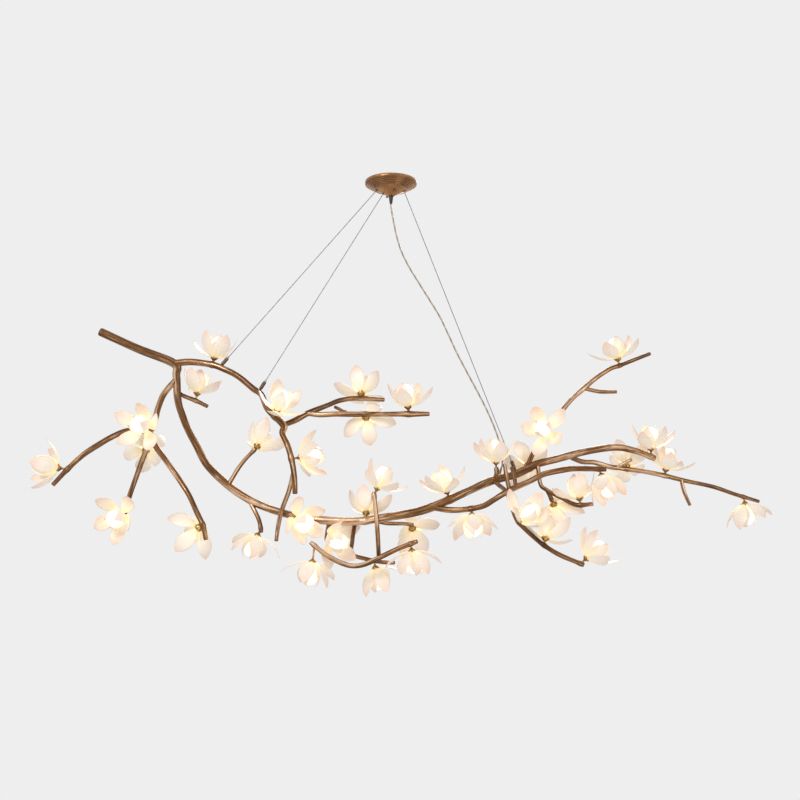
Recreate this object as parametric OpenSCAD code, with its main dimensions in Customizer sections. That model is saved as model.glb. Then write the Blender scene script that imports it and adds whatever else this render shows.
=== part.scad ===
// Branch chandelier: a hammered bronze bough with side twigs and lit magnolia blossoms, hung from a
// small ceiling canopy on three steel wires. Millimetres, +Z up, +X to the right of the front view,
// +Y away from it. The origin is the middle of the canopy's upper face, where it meets the ceiling.

/* [Canopy] */
// Outer diameter of the ceiling canopy
canopy_d = 135; // [125:1:160]
// Depth of the canopy below the ceiling
canopy_h = 39; // [37:1:48]
// Wall of the canopy shell
canopy_wall = 1.6; // [1.2:0.1:2.5]
// Height of the plain rim before the first ridge
rim_h = 5; // [3:0.5:8]
// Growth-ring ridges between the rim and the cone
ridge_count = 6; // [4:1:8]
// Width of the ridged band, measured along the radius
ridge_band = 28; // [20:1:32]
// Depth of the ridged band
ridge_drop = 16; // [13:0.5:17]
// Flat disc at the bottom of the dome, around the cord gland
dome_flat_d = 17; // [16:0.5:22]

/* [Ceiling fixings] */
// Distance between the two ceiling screws
ceiling_screw_spacing = 100; // [98:1:104]
// Hole for a ceiling screw
ceiling_hole_d = 5; // [4:0.1:6]
// Thickness of the ceiling bracket
bracket_t = 2; // [1.5:0.1:3]
// Width of the ceiling bracket and of the suspension bar
bracket_w = 24; // [22:0.5:28]
// Length of the ceiling bracket
bracket_l = 116; // [114:1:118]
// Length of the suspension bar under the bracket
bar_l = 88; // [86:1:89]
// Thickness of the suspension bar
bar_t = 3; // [2:0.1:4]
// Height of the two posts between bracket and bar
bar_post_h = 6; // [5.5:0.5:6.5]
// Diameter of the two posts between bracket and bar
bar_post_d = 5; // [4:0.1:6]
// Distance of the canopy screws from the middle
canopy_screw_reach = 24; // [22:0.5:25]
// Thread diameter of a canopy screw
canopy_screw_d = 4; // [3:0.1:5]

/* [Wires and cord] */
// Diameter of a steel suspension wire
wire_d = 2.2; // [1.8:0.1:2.4]
// Diameter of the ball swaged on a wire's upper end
wire_ball_d = 8; // [7:0.1:8.5]
// Outer diameter of a ball socket in the suspension bar
socket_d = 12; // [11.5:0.1:12.5]
// Hole in the dome for each wire
dome_hole_d = 8; // [7:0.1:9]
// Diameter of the power cord
cord_d = 4.6; // [3.6:0.1:5]
// Length of the strain relief below the dome
gland_l = 20; // [18:0.5:30]
// Diameter of the strain relief at the dome
gland_d = 11; // [10:0.1:12]
// Body diameter of a wire grip
grip_d = 9; // [8.6:0.1:10]
// Body length of a wire grip
grip_l = 20; // [18:0.5:26]
// Outer diameter of the release sleeve in a grip
sleeve_d = 6.2; // [5.6:0.1:6.6]
// How far a release sleeve can be pressed in
sleeve_travel = 2; // [1.5:0.1:2.5]

/* [Branches] */
// Thickness of the trunk
trunk_d = 20; // [18:0.5:22]
// Thickness of a side branch
branch_d = 14; // [13:0.5:15]
// Thickness of a twig
twig_d = 11; // [10:0.5:12]

/* [Blossoms] */
// Diameter of the hollow stem that holds a blossom in its branch
stem_d = 5; // [4:0.1:5.6]
// Depth of the stem past the middle of its branch
stem_depth = 2; // [1:0.5:3]
// Diameter of the brass calyx
calyx_d = 19.6; // [19:0.1:20.4]
// Height of the calyx cone
calyx_h = 6; // [5:0.5:8]
// Height of the calyx rim that carries the petals
calyx_rim_h = 4; // [3:0.5:5]
// Widest radius of the closed bud of inner petals
bud_r = 22; // [21.5:0.5:23]
// Radius of the curve of the bud's side
bud_curve_r = 34; // [33:0.5:35]
// Height of the bud's widest place above the calyx
bud_middle_h = 26; // [25.5:0.5:26.5]
// Thickness of an inner petal
inner_petal_t = 1.4; // [1:0.1:1.8]
// Thickness of an outer petal
outer_petal_t = 1.6; // [1.2:0.1:2]
// Reach of an outer petal from the middle of the blossom
petal_l = 72; // [64:0.5:74]
// Width of an outer petal
petal_w = 37; // [32:0.5:38]
// Radius of the spoon curve of an outer petal
petal_curl_r = 78; // [72:1:90]
// Outer petals on a blossom
outer_petals = 5; // [4:1:5]
// Wall of the frosted lamp cover
cover_wall = 1.5; // [1:0.1:2]

/* [Clearances] */
// Running clearance round wires, stems and sleeves
run_gap = 0.3; // [0.2:0.05:0.4]
// Seat clearance between glass, petals and metal
seat_gap = 0.2; // [0.1:0.05:0.3]

/* [Hidden] */

fine = 96;         // facets of large rounds
small = 48;        // facets of small rounds
sweep_sides = 8;   // sides of a branch
sweep_steps = 3;   // rings between two points of a branch's route
cord_sides = 8;
cord_steps = 3;
far = 400;         // longer than any cut needs
drill_l = trunk_d + stem_depth;  // a hole from a middle line leaves the thickest branch

bronze = [0.62, 0.42, 0.26];
brass = [0.78, 0.62, 0.32];
steel = [0.62, 0.62, 0.61];
ivory = [0.93, 0.88, 0.80];

// ---------------------------------------------------------------- vectors and sweeps
function unit(v) = v / norm(v);
function mid_curve(a, b, c, d, t) = 0.5 * (2 * b + (c - a) * t + (2 * a - 5 * b + 4 * c - d) * t * t
    + (3 * b - a - 3 * c + d) * t * t * t);
function smooth(route, steps) =
    let (n = len(route) - 1)
    [for (i = [0 : n - 1], s = [0 : steps - 1])
        mid_curve(i > 0 ? route[i - 1] : 2 * route[0] - route[1], route[i], route[i + 1],
            i < n - 1 ? route[i + 2] : 2 * route[n] - route[n - 1], s / steps),
        route[n]];
function place(p) = [p[0], p[1], p[2]];
function heading(pts, i) =
    unit(place(pts[min(i + 1, len(pts) - 1)]) - place(pts[max(i - 1, 0)]));
function ring(centre, along, radius, sides) =
    let (across = unit(cross(along, [0, 1, 0])), up = cross(across, along))
    [for (k = [0 : sides - 1])
        centre + radius * (cos(360 * k / sides) * across + sin(360 * k / sides) * up)];
function side_faces(rings, sides) =
    [for (r = [0 : rings - 2], k = [0 : sides - 1], half = [0, 1])
        let (a = r * sides + k, b = r * sides + (k + 1) % sides)
        half == 0 ? [a, b, b + sides] : [a, b + sides, a + sides]];

// A closed tube along a list of [x, y, z, radius]; round_ends adds a short blunt nose at both ends
module tube(pts, sides, round_ends) {
    last = len(pts) - 1;
    nose = round_ends ? 0.4 : 0;
    nose_r = 0.66;
    first_ring = round_ends
        ? [for (q = ring(place(pts[0]) - nose * pts[0][3] * heading(pts, 0), heading(pts, 0),
            nose_r * pts[0][3], sides)) q]
        : [];
    last_ring = round_ends
        ? [for (q = ring(place(pts[last]) + nose * pts[last][3] * heading(pts, last),
            heading(pts, last), nose_r * pts[last][3], sides)) q]
        : [];
    body = [for (i = [0 : last], q = ring(place(pts[i]), heading(pts, i), pts[i][3], sides)) q];
    points = concat(first_ring, body, last_ring);
    rings = len(points) / sides;
    polyhedron(points = points, faces = concat(
        [[for (k = [sides - 1 : -1 : 0]) k]],
        side_faces(rings, sides),
        [[for (k = [0 : sides - 1]) (rings - 1) * sides + k]]));
}

// Turns +Z to the direction and moves the origin to the point
module aim(point, direction) {
    d = unit(direction);
    translate(point) rotate([0, acos(d[2]), atan2(d[1], d[0])]) children();
}

// ---------------------------------------------------------------- branch routes
// Every route is a list of [x, y, z, thickness], where thickness 1 is the full radius of its kind.
// A knot is a place a little over 1, and a twig thins towards its tip.
trunk_route = [[-730, -30, -405, 1.08], [-640, -20, -445, 1.03], [-550, 0, -480, 1.12],
    [-544, 5, -510, 1], [-540, 10, -570, 0.95], [-528, 15, -610, 0.95], [-512, 20, -650, 0.93],
    [-490, 25, -690, 0.95], [-462, 25, -738, 0.95], [-410, 25, -787, 1.02], [-356, 20, -823, 0.97],
    [-300, 15, -847, 1], [-240, 8, -864, 0.97], [-175, 0, -874, 1.03], [-85, -10, -878, 1],
    [-12, -15, -868, 1.02], [60, -10, -856, 1.03], [107, 0, -841, 1.1], [155, 10, -820, 1.03],
    [203, 20, -798, 1], [255, 25, -776, 1.05], [316, 30, -759, 1.05], [369, 30, -734, 1],
    [422, 30, -720, 0.97], [492, 35, -702, 0.9], [568, 45, -690, 0.85], [621, 55, -696, 0.8],
    [677, 65, -715, 0.72]];
top_route = [[-550, 0, -480, 1.3], [-505, -5, -477, 1.25], [-451, -10, -485, 1.22],
    [-412, -20, -501, 1.15], [-378, -30, -520, 1.15], [-341, -40, -551, 1.18],
    [-319, -50, -568, 1.15], [-302, -55, -605, 1.15], [-263, -60, -644, 1.28],
    [-265, -62, -665, 1.1], [-251, -70, -695, 1.05], [-239, -75, -735, 1], [-232, -80, -773, 0.95],
    [-230, -80, -812, 0.85]];
upper_fork_route = [[-263, -60, -644, 1], [-235, -50, -631, 1.05], [-206, -35, -612, 1.08],
    [-160, -15, -590, 0.95], [-129, 0, -575, 0.97], [-86, 15, -567, 0.93], [-18, 30, -568, 0.8]];
lower_fork_routes = [
    [[-206, -35, -612, 0.9], [-175, -46, -617, 0.95], [-136, -50, -616, 0.93],
        [-84, -55, -617, 0.97], [12, -60, -617, 0.92], [45, -62, -617, 1.08], [94, -65, -617, 0.85]],
    [[-139, -8, -593, 0.65], [-101, -53, -616, 0.65]]];
fan_left_routes = [[[-545, 5, -520, 1], [-569, -15, -560, 1.05], [-579, -30, -597, 1.05],
    [-583, -40, -626, 1.1], [-595, -45, -655, 1.25], [-630, -60, -656, 1.05],
    [-662, -75, -667, 1], [-703, -90, -694, 1], [-736, -105, -721, 0.95], [-768, -120, -757, 0.92],
    [-797, -130, -794, 0.82]]];
fan_middle_route = [[-595, -45, -655, 1], [-600, -40, -693, 1], [-620, -20, -738, 0.95],
    [-643, 0, -792, 0.93], [-665, 20, -847, 0.92], [-670, 25, -864, 0.85]];
fan_right_route = [[-595, -45, -655, 1], [-578, -50, -694, 1], [-546, -65, -734, 0.95],
    [-514, -80, -773, 0.93], [-484, -90, -816, 0.93], [-464, -95, -855, 0.95],
    [-446, -100, -889, 0.88], [-438, -100, -922, 0.78]];
crown_route = [[-541, 8, -548, 1.1], [-532, 22, -558, 1.05], [-500, 38, -570, 1.02],
    [-472, 50, -583, 0.88]];
inner_route = [[-410, 25, -787, 1], [-376, 10, -736, 1], [-339, 0, -697, 0.9]];
drop_route = [[-355, 20, -825, 1], [-329, 10, -872, 1], [-321, 5, -904, 0.88]];
cross_route = [[-234, -78, -760, 1], [-248, -50, -805, 1], [-268, -14, -848, 1.02],
    [-278, -8, -890, 1], [-281, -15, -925, 0.88]];
ring_route = [[-150, -3, -875, 1.1], [-157, 12, -905, 1.1], [-158, 20, -927, 1.05]];
rear_bow_route = [[-87, -10, -878, 1], [-95, 16, -925, 1], [-96, 33, -958, 1], [-60, 40, -971, 1],
    [-22, 40, -978, 1], [9, 33, -980, 0.88]];
lower_bow_route = [[-195, -25, -930, 0.95], [-152, -28, -963, 1.08], [-105, -30, -984, 1.15],
    [-68, -30, -984, 1.15], [-26, -28, -966, 1.2], [21, -30, -944, 1.08], [65, -35, -927, 0.95]];
post_route = [[-28, -28, -966, 1.05], [-32, -28, -901, 1], [-36, -29, -854, 1.02],
    [-41, -28, -808, 0.95]];
rear_twig_route = [[-45, -12, -874, 1], [-10, 8, -882, 1], [35, 25, -883, 0.92],
    [55, 35, -886, 0.85]];
front_route = [[105, 0, -843, 1.15], [146, -12, -850, 1.05], [186, -25, -849, 1],
    [227, -35, -841, 1], [255, -38, -825, 1.02], [290, -40, -804, 1.1], [341, -42, -781, 1.02],
    [376, -45, -764, 1.03], [427, -50, -753, 1.07], [460, -55, -751, 1], [524, -65, -753, 0.9]];
ladder_routes = [
    [[258, 25, -775, 1], [286, -40, -806, 1]],
    [[262, 25, -773, 1], [266, 12, -756, 1], [265, 10, -744, 0.9]],
    [[284, -9, -738, 0.9], [287, -22, -768, 1], [292, -40, -803, 1]],
    [[303, -3, -745, 0.9], [307, -18, -768, 0.95], [308, -40, -796, 1]]];
low_right_route = [[286, -40, -806, 1.1], [302, -50, -860, 1.1], [312, -55, -881, 1.1],
    [337, -65, -908, 1.08], [369, -75, -936, 1.08], [407, -85, -960, 1.08], [459, -95, -982, 0.95]];
mid_routes = [
    [[372, 30, -733, 1], [375, 10, -784, 0.95], [389, 0, -800, 0.95], [424, -15, -821, 0.93],
        [458, -25, -838, 1], [496, -35, -836, 0.88]],
    [[389, 0, -800, 0.85], [398, -3, -818, 0.85], [401, -5, -828, 0.8]]];
upper_right_routes = [
    [[342, 30, -747, 1.2], [368, 40, -694, 1.15], [394, 50, -655, 1.18], [423, 55, -616, 1.15],
        [464, 60, -567, 1.12], [496, 60, -538, 1.2], [534, 65, -506, 1.08], [571, 70, -482, 1.05],
        [600, 75, -471, 1], [681, 90, -438, 0.88]],
    [[500, 60, -535, 0.9], [538, 50, -545, 0.9], [579, 40, -547, 0.8]]];
rear_routes = [
    [[447, 30, -712, 1.2], [488, 55, -725, 1.18], [523, 70, -726, 1.15], [562, 80, -736, 1.18],
        [594, 88, -740, 1.15], [644, 95, -746, 1.08], [697, 100, -755, 1.1], [765, 105, -771, 1],
        [837, 110, -786, 1], [898, 115, -806, 0.93], [959, 120, -824, 0.8]],
    [[582, 85, -739, 0.85], [620, 75, -718, 0.78]],
    [[755, 104, -769, 0.88], [760, 100, -800, 0.88], [772, 95, -834, 0.8]]];

// Name, full thickness, routes, and the branches that it is coped and brazed on
BRANCHES = [
    ["trunk", trunk_d, [trunk_route], []],
    ["top_branch", branch_d, [top_route], ["trunk"]],
    ["upper_fork", branch_d, [upper_fork_route], ["top_branch"]],
    ["lower_fork", branch_d, lower_fork_routes, ["upper_fork"]],
    ["fan_left", branch_d, fan_left_routes, ["trunk"]],
    ["fan_middle", branch_d, [fan_middle_route], ["fan_left"]],
    ["fan_right", branch_d, [fan_right_route], ["fan_left", "fan_middle"]],
    ["crown_twig", twig_d, [crown_route], ["trunk"]],
    ["inner_twig", twig_d, [inner_route], ["trunk"]],
    ["drop_twig", twig_d, [drop_route], ["trunk"]],
    ["cross_twig", twig_d, [cross_route], ["top_branch", "trunk"]],
    ["ring_twig", twig_d, [ring_route], ["trunk"]],
    ["rear_bow", twig_d, [rear_bow_route], ["trunk"]],
    ["lower_bow", twig_d, [lower_bow_route], []],
    ["post_twig", twig_d, [post_route], ["trunk", "lower_bow"]],
    ["rear_twig", twig_d, [rear_twig_route], ["trunk"]],
    ["front_branch", branch_d, [front_route], ["trunk"]],
    ["ladder", twig_d, ladder_routes, ["trunk", "front_branch"]],
    ["low_right", twig_d, [low_right_route], ["front_branch", "ladder"]],
    ["mid_twig", twig_d, mid_routes, ["trunk"]],
    ["upper_right", twig_d, upper_right_routes, ["trunk"]],
    ["rear_branch", twig_d, rear_routes, ["trunk"]]];
function branch_row(name) = BRANCHES[search([name], BRANCHES)[0]];
function branch_radius(name) = branch_row(name)[1] / 2;

// ---------------------------------------------------------------- blossoms
// Petal group, carrying branch, seat on the branch's middle line, direction of the blossom,
// height of the calyx above the branch's surface, and the turn of its first outer petal
BLOSSOMS = [
    ["petals_fan_left", "fan_left", [-768, -120, -757], [-1, -0.3, 0.15], 7, 20],
    ["petals_fan_middle", "fan_middle", [-668, 23, -856], [-0.2, -1, -0.35], 6, 70],
    ["petals_fan_left", "fan_left", [-595, -45, -655], [-0.2, -1, 0.15], 13, 28],
    ["petals_fan_middle", "fan_middle", [-603, -37, -700], [-0.3, 1, -0.1], 4, 10],
    ["petals_fan_right", "fan_right", [-447, -99, -887], [-0.6, 0.8, -0.4], 5, 50],
    ["petals_top", "crown_twig", [-500, 38, -570], [0.15, 0.1, 1], 7, 75],
    ["petals_top", "top_branch", [-451, -10, -485], [0.25, 0, 1], 4, 15],
    ["petals_top", "top_branch", [-284, -58, -623], [0.35, -0.55, 0.8], 6, 40],
    ["petals_hanging", "inner_twig", [-343, 1, -702], [0.35, 0.8, 0.75], 7, 65],
    ["petals_hanging", "top_branch", [-240, -74, -728], [1, -0.35, 0.1], 9, 30],
    ["petals_drop", "drop_twig", [-323, 6, -895], [-0.4, -0.2, -1], 7, 25],
    ["petals_drop", "trunk", [-240, 8, -864], [0.6, -0.9, -0.4], 8, 63],
    ["petals_fork", "upper_fork", [-76, 17, -567], [0, 0.9, 1], 4, 20],
    ["petals_fork", "lower_fork", [-62, -56, -617], [0.05, 1, -0.3], 4, 60],
    ["petals_fork", "lower_fork", [45, -62, -617], [-0.1, 0, 1], 4, 10],
    ["petals_post", "post_twig", [-40, -28, -816], [0.4, -0.1, 1], 8, 35],
    ["petals_post", "trunk", [-62, -12, -875], [0.05, 0.6, 0.8], 5, 36],
    ["petals_ring", "ring_twig", [-158, 17, -920], [0.6, -0.8, -0.2], 6, 50],
    ["petals_ring", "lower_bow", [-186, -25, -937], [-0.1, -0.15, -1], 28, 12],
    ["petals_bow", "rear_bow", [-42, 40, -974], [0.2, 0.1, -1], 7, 60],
    ["petals_bow", "lower_bow", [50, -33, -933], [0.15, -0.05, -1], 5, 70],
    ["petals_bow", "rear_twig", [52, 33, -886], [0.15, 1, -0.55], 5, 30],
    ["petals_trunk", "trunk", [148, 9, -823], [-0.4, -0.2, 1], 4, 15],
    ["petals_front", "front_branch", [198, -28, -847], [0.1, -0.5, -1], 5, 45],
    ["petals_trunk", "ladder", [265, 10, -750], [-0.05, -0.25, 1], 8, 25],
    ["petals_upper_right", "upper_right", [398, 51, -650], [-0.35, -1, 0.1], 6, 55],
    ["petals_trunk", "trunk", [352, 30, -743], [-0.2, 1, 0.3], 4, 20],
    ["petals_low_right", "low_right", [312, -55, -881], [0.5, -1, 0.6], 6, 65],
    ["petals_low_right", "low_right", [369, -75, -936], [0.3, 0.5, 1], 6, 38],
    ["petals_mid", "mid_twig", [400, -5, -822], [0.35, 0.7, -0.65], 8, 50],
    ["petals_low_right", "low_right", [452, -94, -979], [0.8, -0.2, 0.7], 7, 10],
    ["petals_mid", "mid_twig", [468, -28, -838], [-0.15, 0.1, 1], 4, 56],
    ["petals_front", "front_branch", [508, -62, -752], [0.3, -0.3, -1], 5, 30],
    ["petals_upper_right", "upper_right", [596, 74, -472], [-0.2, 0, 1], 5, 60],
    ["petals_rear", "rear_branch", [610, 90, -742], [0.2, 0.9, 0.5], 4, 15],
    ["petals_rear", "trunk", [668, 63, -711], [-0.05, -0.3, 1], 4, 45],
    ["petals_rear", "rear_branch", [711, 101, -758], [0.2, -0.1, 1], 4, 70],
    ["petals_rear", "rear_branch", [919, 117, -812], [0.1, 0, -1], 6, 30]];
function calyx_foot(row) = branch_radius(row[1]) + row[4];
function calyx_top(row) = calyx_foot(row) + calyx_h + calyx_rim_h;
stem_bore_d = stem_d + 2 * run_gap;
bud_offset = bud_curve_r - bud_r;
cover_curve_r = bud_curve_r - inner_petal_t - 1.2;   // 1.2 mm of air between cover and petals
inner_petal_angle = 114;                             // of the 120 degrees that each has
lean_mean = 4;                                       // tilt of an inner petal out of the bud
lean_spread = 3;
bud_tip_r = 1.5;                                     // the inner petals stop short of the axis
cover_tip_h = 26;
petal_root = 8;                                      // where an outer petal's outline starts
petal_foot_w = 7;
petal_root_z = 0.5 - calyx_rim_h;
petal_edge_points = 7;                               // corners along one side of the outline
opening_mean = 15;                                   // slope of an outer petal at its foot
opening_spread = 18;
turn_spread = 3;
chip_d = 3;
module_h = 2;

// ---------------------------------------------------------------- suspension
ball_z = -12;
wire_tops = [[-28, 0, ball_z], [-8, 0, ball_z], [29, 0, ball_z]];
wire_feet = [[-432, -15, -493], [-328, -46, -561], [318, 30, -758]];
wire_branch = ["top_branch", "top_branch", "trunk"];
function wire_heading(i) = unit(wire_tops[i] - wire_feet[i]);
function wire_foot_r(i) = branch_radius(wire_branch[i]) * 1.15;
grip_lift = 3;                                       // neck between branch and grip body
grip_floor = 5.5;                                    // from the branch to the wire's lower end
counterbore_h = 8;                                   // pocket of the release sleeve
grip_neck_d = 6;
sleeve_body_h = 7;
sleeve_cone_h = 5;
wire_bore_d = wire_d + 2 * run_gap;
swing_bore_d = 5.2;                                  // outlet of a ball socket
bar_top = -(bracket_t + bar_post_h);
bar_bottom = bar_top - bar_t;
bar_post_reach = 40;
socket_flange_t = 1.5;
socket_flange_d = 15;
socket_bottom = ball_z - 5;

// The power cord from the strain relief to its inlet in the trunk
gland_tip = -(canopy_h + gland_l);
inlet_seat = [272, 27, -770];
inlet_end = [281, 50, -744];
inlet_heading = inlet_end - inlet_seat;
cord_route = [[0, 0, gland_tip - 0.1], [0, 0, gland_tip - 8], [2, 0, -80], [6, 0, -103], [14, 2, -142], [26, 4, -183],
    [46, 6, -225], [70, 8, -265], [98, 11, -310], [127, 15, -358], [148, 20, -402],
    [169, 26, -447], [197, 34, -500], [228, 45, -556], [256, 56, -612], [277, 66, -665],
    [286, 70, -700], inlet_end + inlet_heading / 2,
    inlet_end + seat_gap * unit(inlet_heading)];
inlet_d = 9;

// ---------------------------------------------------------------- canopy
dome_r = canopy_d / 2;
ridge_step = ridge_band / ridge_count;
ridge_fall = ridge_drop / ridge_count;
dome_lines = concat(
    [for (i = [0 : ridge_count - 1], riser = [0, 1])
        [dome_r - i * ridge_step, -(rim_h + (i + riser) * ridge_fall)]],
    [[dome_r - ridge_band, -(rim_h + ridge_drop)], [dome_flat_d / 2, -canopy_h]]);
gland_neck_d = 8;
gland_neck_h = 6;
gland_floor = 6;
gland_hole_d = gland_neck_d + 2 * run_gap;
canopy_screw_turn = 115;
canopy_screw_places = [for (side = [-1, 1])
    side * canopy_screw_reach * [cos(canopy_screw_turn), sin(canopy_screw_turn)]];
function dome_z(r) = -(rim_h + ridge_drop)
    - (canopy_h - rim_h - ridge_drop) * (dome_r - ridge_band - r)
    / (dome_r - ridge_band - dome_flat_d / 2);

module canopy_shell() {
    color(bronze)
    difference() {
        rotate_extrude($fn = fine)
            polygon(concat([[dome_r, 0]], dome_lines, [[gland_hole_d / 2, -canopy_h],
                [gland_hole_d / 2, -canopy_h + canopy_wall],
                [dome_flat_d / 2, -canopy_h + canopy_wall],
                [dome_r - ridge_band - canopy_wall, -(rim_h + ridge_drop) + canopy_wall],
                [dome_r - canopy_wall, -rim_h + canopy_wall / 2], [dome_r - canopy_wall, 0]]));
        for (i = [0 : 2])
            aim(wire_tops[i], -wire_heading(i)) cylinder(d = dome_hole_d, h = far / 4, $fn = small);
        for (p = canopy_screw_places)
            translate([p[0], p[1], -canopy_h - 1])
                cylinder(d = canopy_screw_d + 2 * run_gap, h = canopy_h, $fn = small);
    }
}

module ceiling_bracket() {
    color(steel)
    difference() {
        union() {
            translate([-bracket_l / 2, -bracket_w / 2, -bracket_t])
                cube([bracket_l, bracket_w, bracket_t]);
            for (side = [-1, 1])
                translate([side * bar_post_reach, 0, bar_top])
                    cylinder(d = bar_post_d, h = bar_post_h + bracket_t / 2, $fn = small);
        }
        for (side = [-1, 1])
            translate([side * ceiling_screw_spacing / 2, 0, -bracket_t - 1])
                cylinder(d = ceiling_hole_d, h = bracket_t + 2, $fn = small);
    }
}

module suspension_bar() {
    boss_d = canopy_screw_d + 5;
    color(steel)
    difference() {
        union() {
            translate([-bar_l / 2, -bracket_w / 2, bar_bottom]) cube([bar_l, bracket_w, bar_t]);
            rotate([0, 0, canopy_screw_turn])
                translate([-canopy_screw_reach - boss_d / 2, -boss_d / 2, bar_bottom])
                    cube([2 * canopy_screw_reach + boss_d, boss_d, bar_t]);
        }
        for (top = wire_tops)
            translate([top[0], top[1], bar_bottom - 1])
                cylinder(d = socket_d + 2 * seat_gap, h = bar_t + 2, $fn = small);
        for (p = canopy_screw_places)
            translate([p[0], p[1], bar_bottom - 1])
                cylinder(d = canopy_screw_d, h = bar_t + 2, $fn = small);
        translate([12, 0, bar_bottom - 1])
            cylinder(d = cord_d + 2, h = bar_t + 2, $fn = small);
    }
}

// A ball socket: the ball drops in from above, and the wire leaves along its own slope
module wire_sockets() {
    color(steel)
    for (i = [0 : 2])
        difference() {
            union() {
                translate([wire_tops[i][0], 0, socket_bottom])
                    cylinder(d = socket_d, h = bar_top - socket_bottom, $fn = small);
                translate([wire_tops[i][0], 0, bar_top])
                    cylinder(d = socket_flange_d, h = socket_flange_t, $fn = small);
            }
            translate(wire_tops[i]) sphere(d = wire_ball_d + 2 * seat_gap, $fn = small);
            translate(wire_tops[i])
                cylinder(d = wire_ball_d + 2 * seat_gap, h = far / 10, $fn = small);
            aim(wire_tops[i], -wire_heading(i)) cylinder(d = swing_bore_d, h = far / 10, $fn = small);
        }
}

module canopy_screws() {
    head_h = 2.4;
    head_d = 7;
    head_z = dome_z(canopy_screw_reach - head_d / 2) - seat_gap;
    color(bronze)
    for (p = canopy_screw_places)
        translate([p[0], p[1], 0]) {
            translate([0, 0, head_z - head_h]) cylinder(d = head_d, h = head_h, $fn = small);
            translate([0, 0, head_z - head_h / 2])
                cylinder(d = canopy_screw_d - 2 * seat_gap, h = bar_top - head_z + head_h / 2,
                    $fn = small);
        }
}

// The driver and the terminal block stand on the ends of the bar's cross arm
driver_size = [64, 24, 7];
module led_driver() {
    color("white")
    translate([-driver_size[0] / 2, bracket_w / 2 + 2, bar_top])
        cube(driver_size);
}

block_size = [30, 12, 7];
module terminal_block() {
    color("gainsboro")
    difference() {
        translate([-block_size[0] / 2, -bracket_w / 2 - 3 - block_size[1], bar_top])
            cube(block_size);
        for (i = [-1 : 1])
            translate([i * 9, -bracket_w / 2 - 4 - block_size[1], bar_top + block_size[2] / 2])
                rotate([-90, 0, 0]) cylinder(d = 3.4, h = block_size[1] + 2, $fn = small);
    }
}

// A tapered strain relief; its bore for the conductors ends above the cord
module cord_gland() {
    shoulder_h = 4;
    tip_d = cord_d + 2.4;
    color([0.12, 0.11, 0.10])
    difference() {
        union() {
            translate([0, 0, -canopy_h - seat_gap])
                cylinder(d = gland_neck_d, h = gland_neck_h, $fn = small);
            translate([0, 0, -canopy_h - seat_gap - shoulder_h])
                cylinder(d = gland_d, h = shoulder_h, $fn = small);
            translate([0, 0, gland_tip])
                cylinder(d1 = tip_d, d2 = gland_d, h = gland_l - shoulder_h - seat_gap, $fn = small);
        }
        translate([0, 0, gland_tip + gland_floor])
            cylinder(d = cord_d, h = gland_l + gland_neck_h, $fn = small);
    }
}

// ---------------------------------------------------------------- wires, grips and cord
module wire(i) {
    start = wire_foot_r(i) + grip_floor + seat_gap;
    length = norm(wire_tops[i] - wire_feet[i]) - start;
    color(steel)
    union() {
        aim(wire_feet[i], wire_heading(i))
            translate([0, 0, start]) cylinder(d = wire_d, h = length, $fn = small);
        translate(wire_tops[i]) sphere(d = wire_ball_d, $fn = small);
    }
}

module wire_grips() {
    color(bronze)
    for (i = [0 : 2])
        aim(wire_feet[i], wire_heading(i))
            difference() {
                union() {
                    translate([0, 0, -stem_depth])
                        cylinder(d = grip_neck_d, h = wire_foot_r(i) + stem_depth + grip_lift + 1, $fn = small);
                    translate([0, 0, wire_foot_r(i) + grip_lift])
                        cylinder(d = grip_d, h = grip_l, $fn = small);
                }
                translate([0, 0, wire_foot_r(i) + grip_floor])
                    cylinder(d = wire_bore_d, h = far, $fn = small);
                translate([0, 0, wire_foot_r(i) + grip_lift + grip_l - counterbore_h])
                    cylinder(d = sleeve_d + 2 * run_gap, h = far, $fn = small);
            }
}

// The sleeve stands sleeve_travel and a little air above the bottom of its pocket
module release_sleeve(i) {
    foot = wire_foot_r(i) + grip_lift + grip_l - counterbore_h + sleeve_travel + run_gap;
    color(steel)
    aim(wire_feet[i], wire_heading(i))
        difference() {
            union() {
                translate([0, 0, foot]) cylinder(d = sleeve_d, h = sleeve_body_h, $fn = small);
                translate([0, 0, foot + sleeve_body_h])
                    cylinder(d1 = sleeve_d, d2 = wire_bore_d + 1.4, h = sleeve_cone_h, $fn = small);
            }
            cylinder(d = wire_bore_d, h = far, $fn = small);
        }
}

module power_cord() {
    color([0.62, 0.57, 0.52])
        tube([for (p = smooth(cord_route, cord_steps)) [p[0], p[1], p[2], cord_d / 2]],
            cord_sides, false);
}

module cord_inlet() {
    length = norm(inlet_heading);
    color(brass)
    aim(inlet_seat, inlet_heading)
        translate([0, 0, -stem_depth])
            cylinder(d = grip_neck_d, h = length + stem_depth, $fn = small);
}

// ---------------------------------------------------------------- branches
module branch_body(name) {
    row = branch_row(name);
    for (route = row[2])
        tube([for (p = smooth(route, sweep_steps)) [p[0], p[1], p[2], p[3] * row[1] / 2]],
            sweep_sides, true);
}

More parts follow.
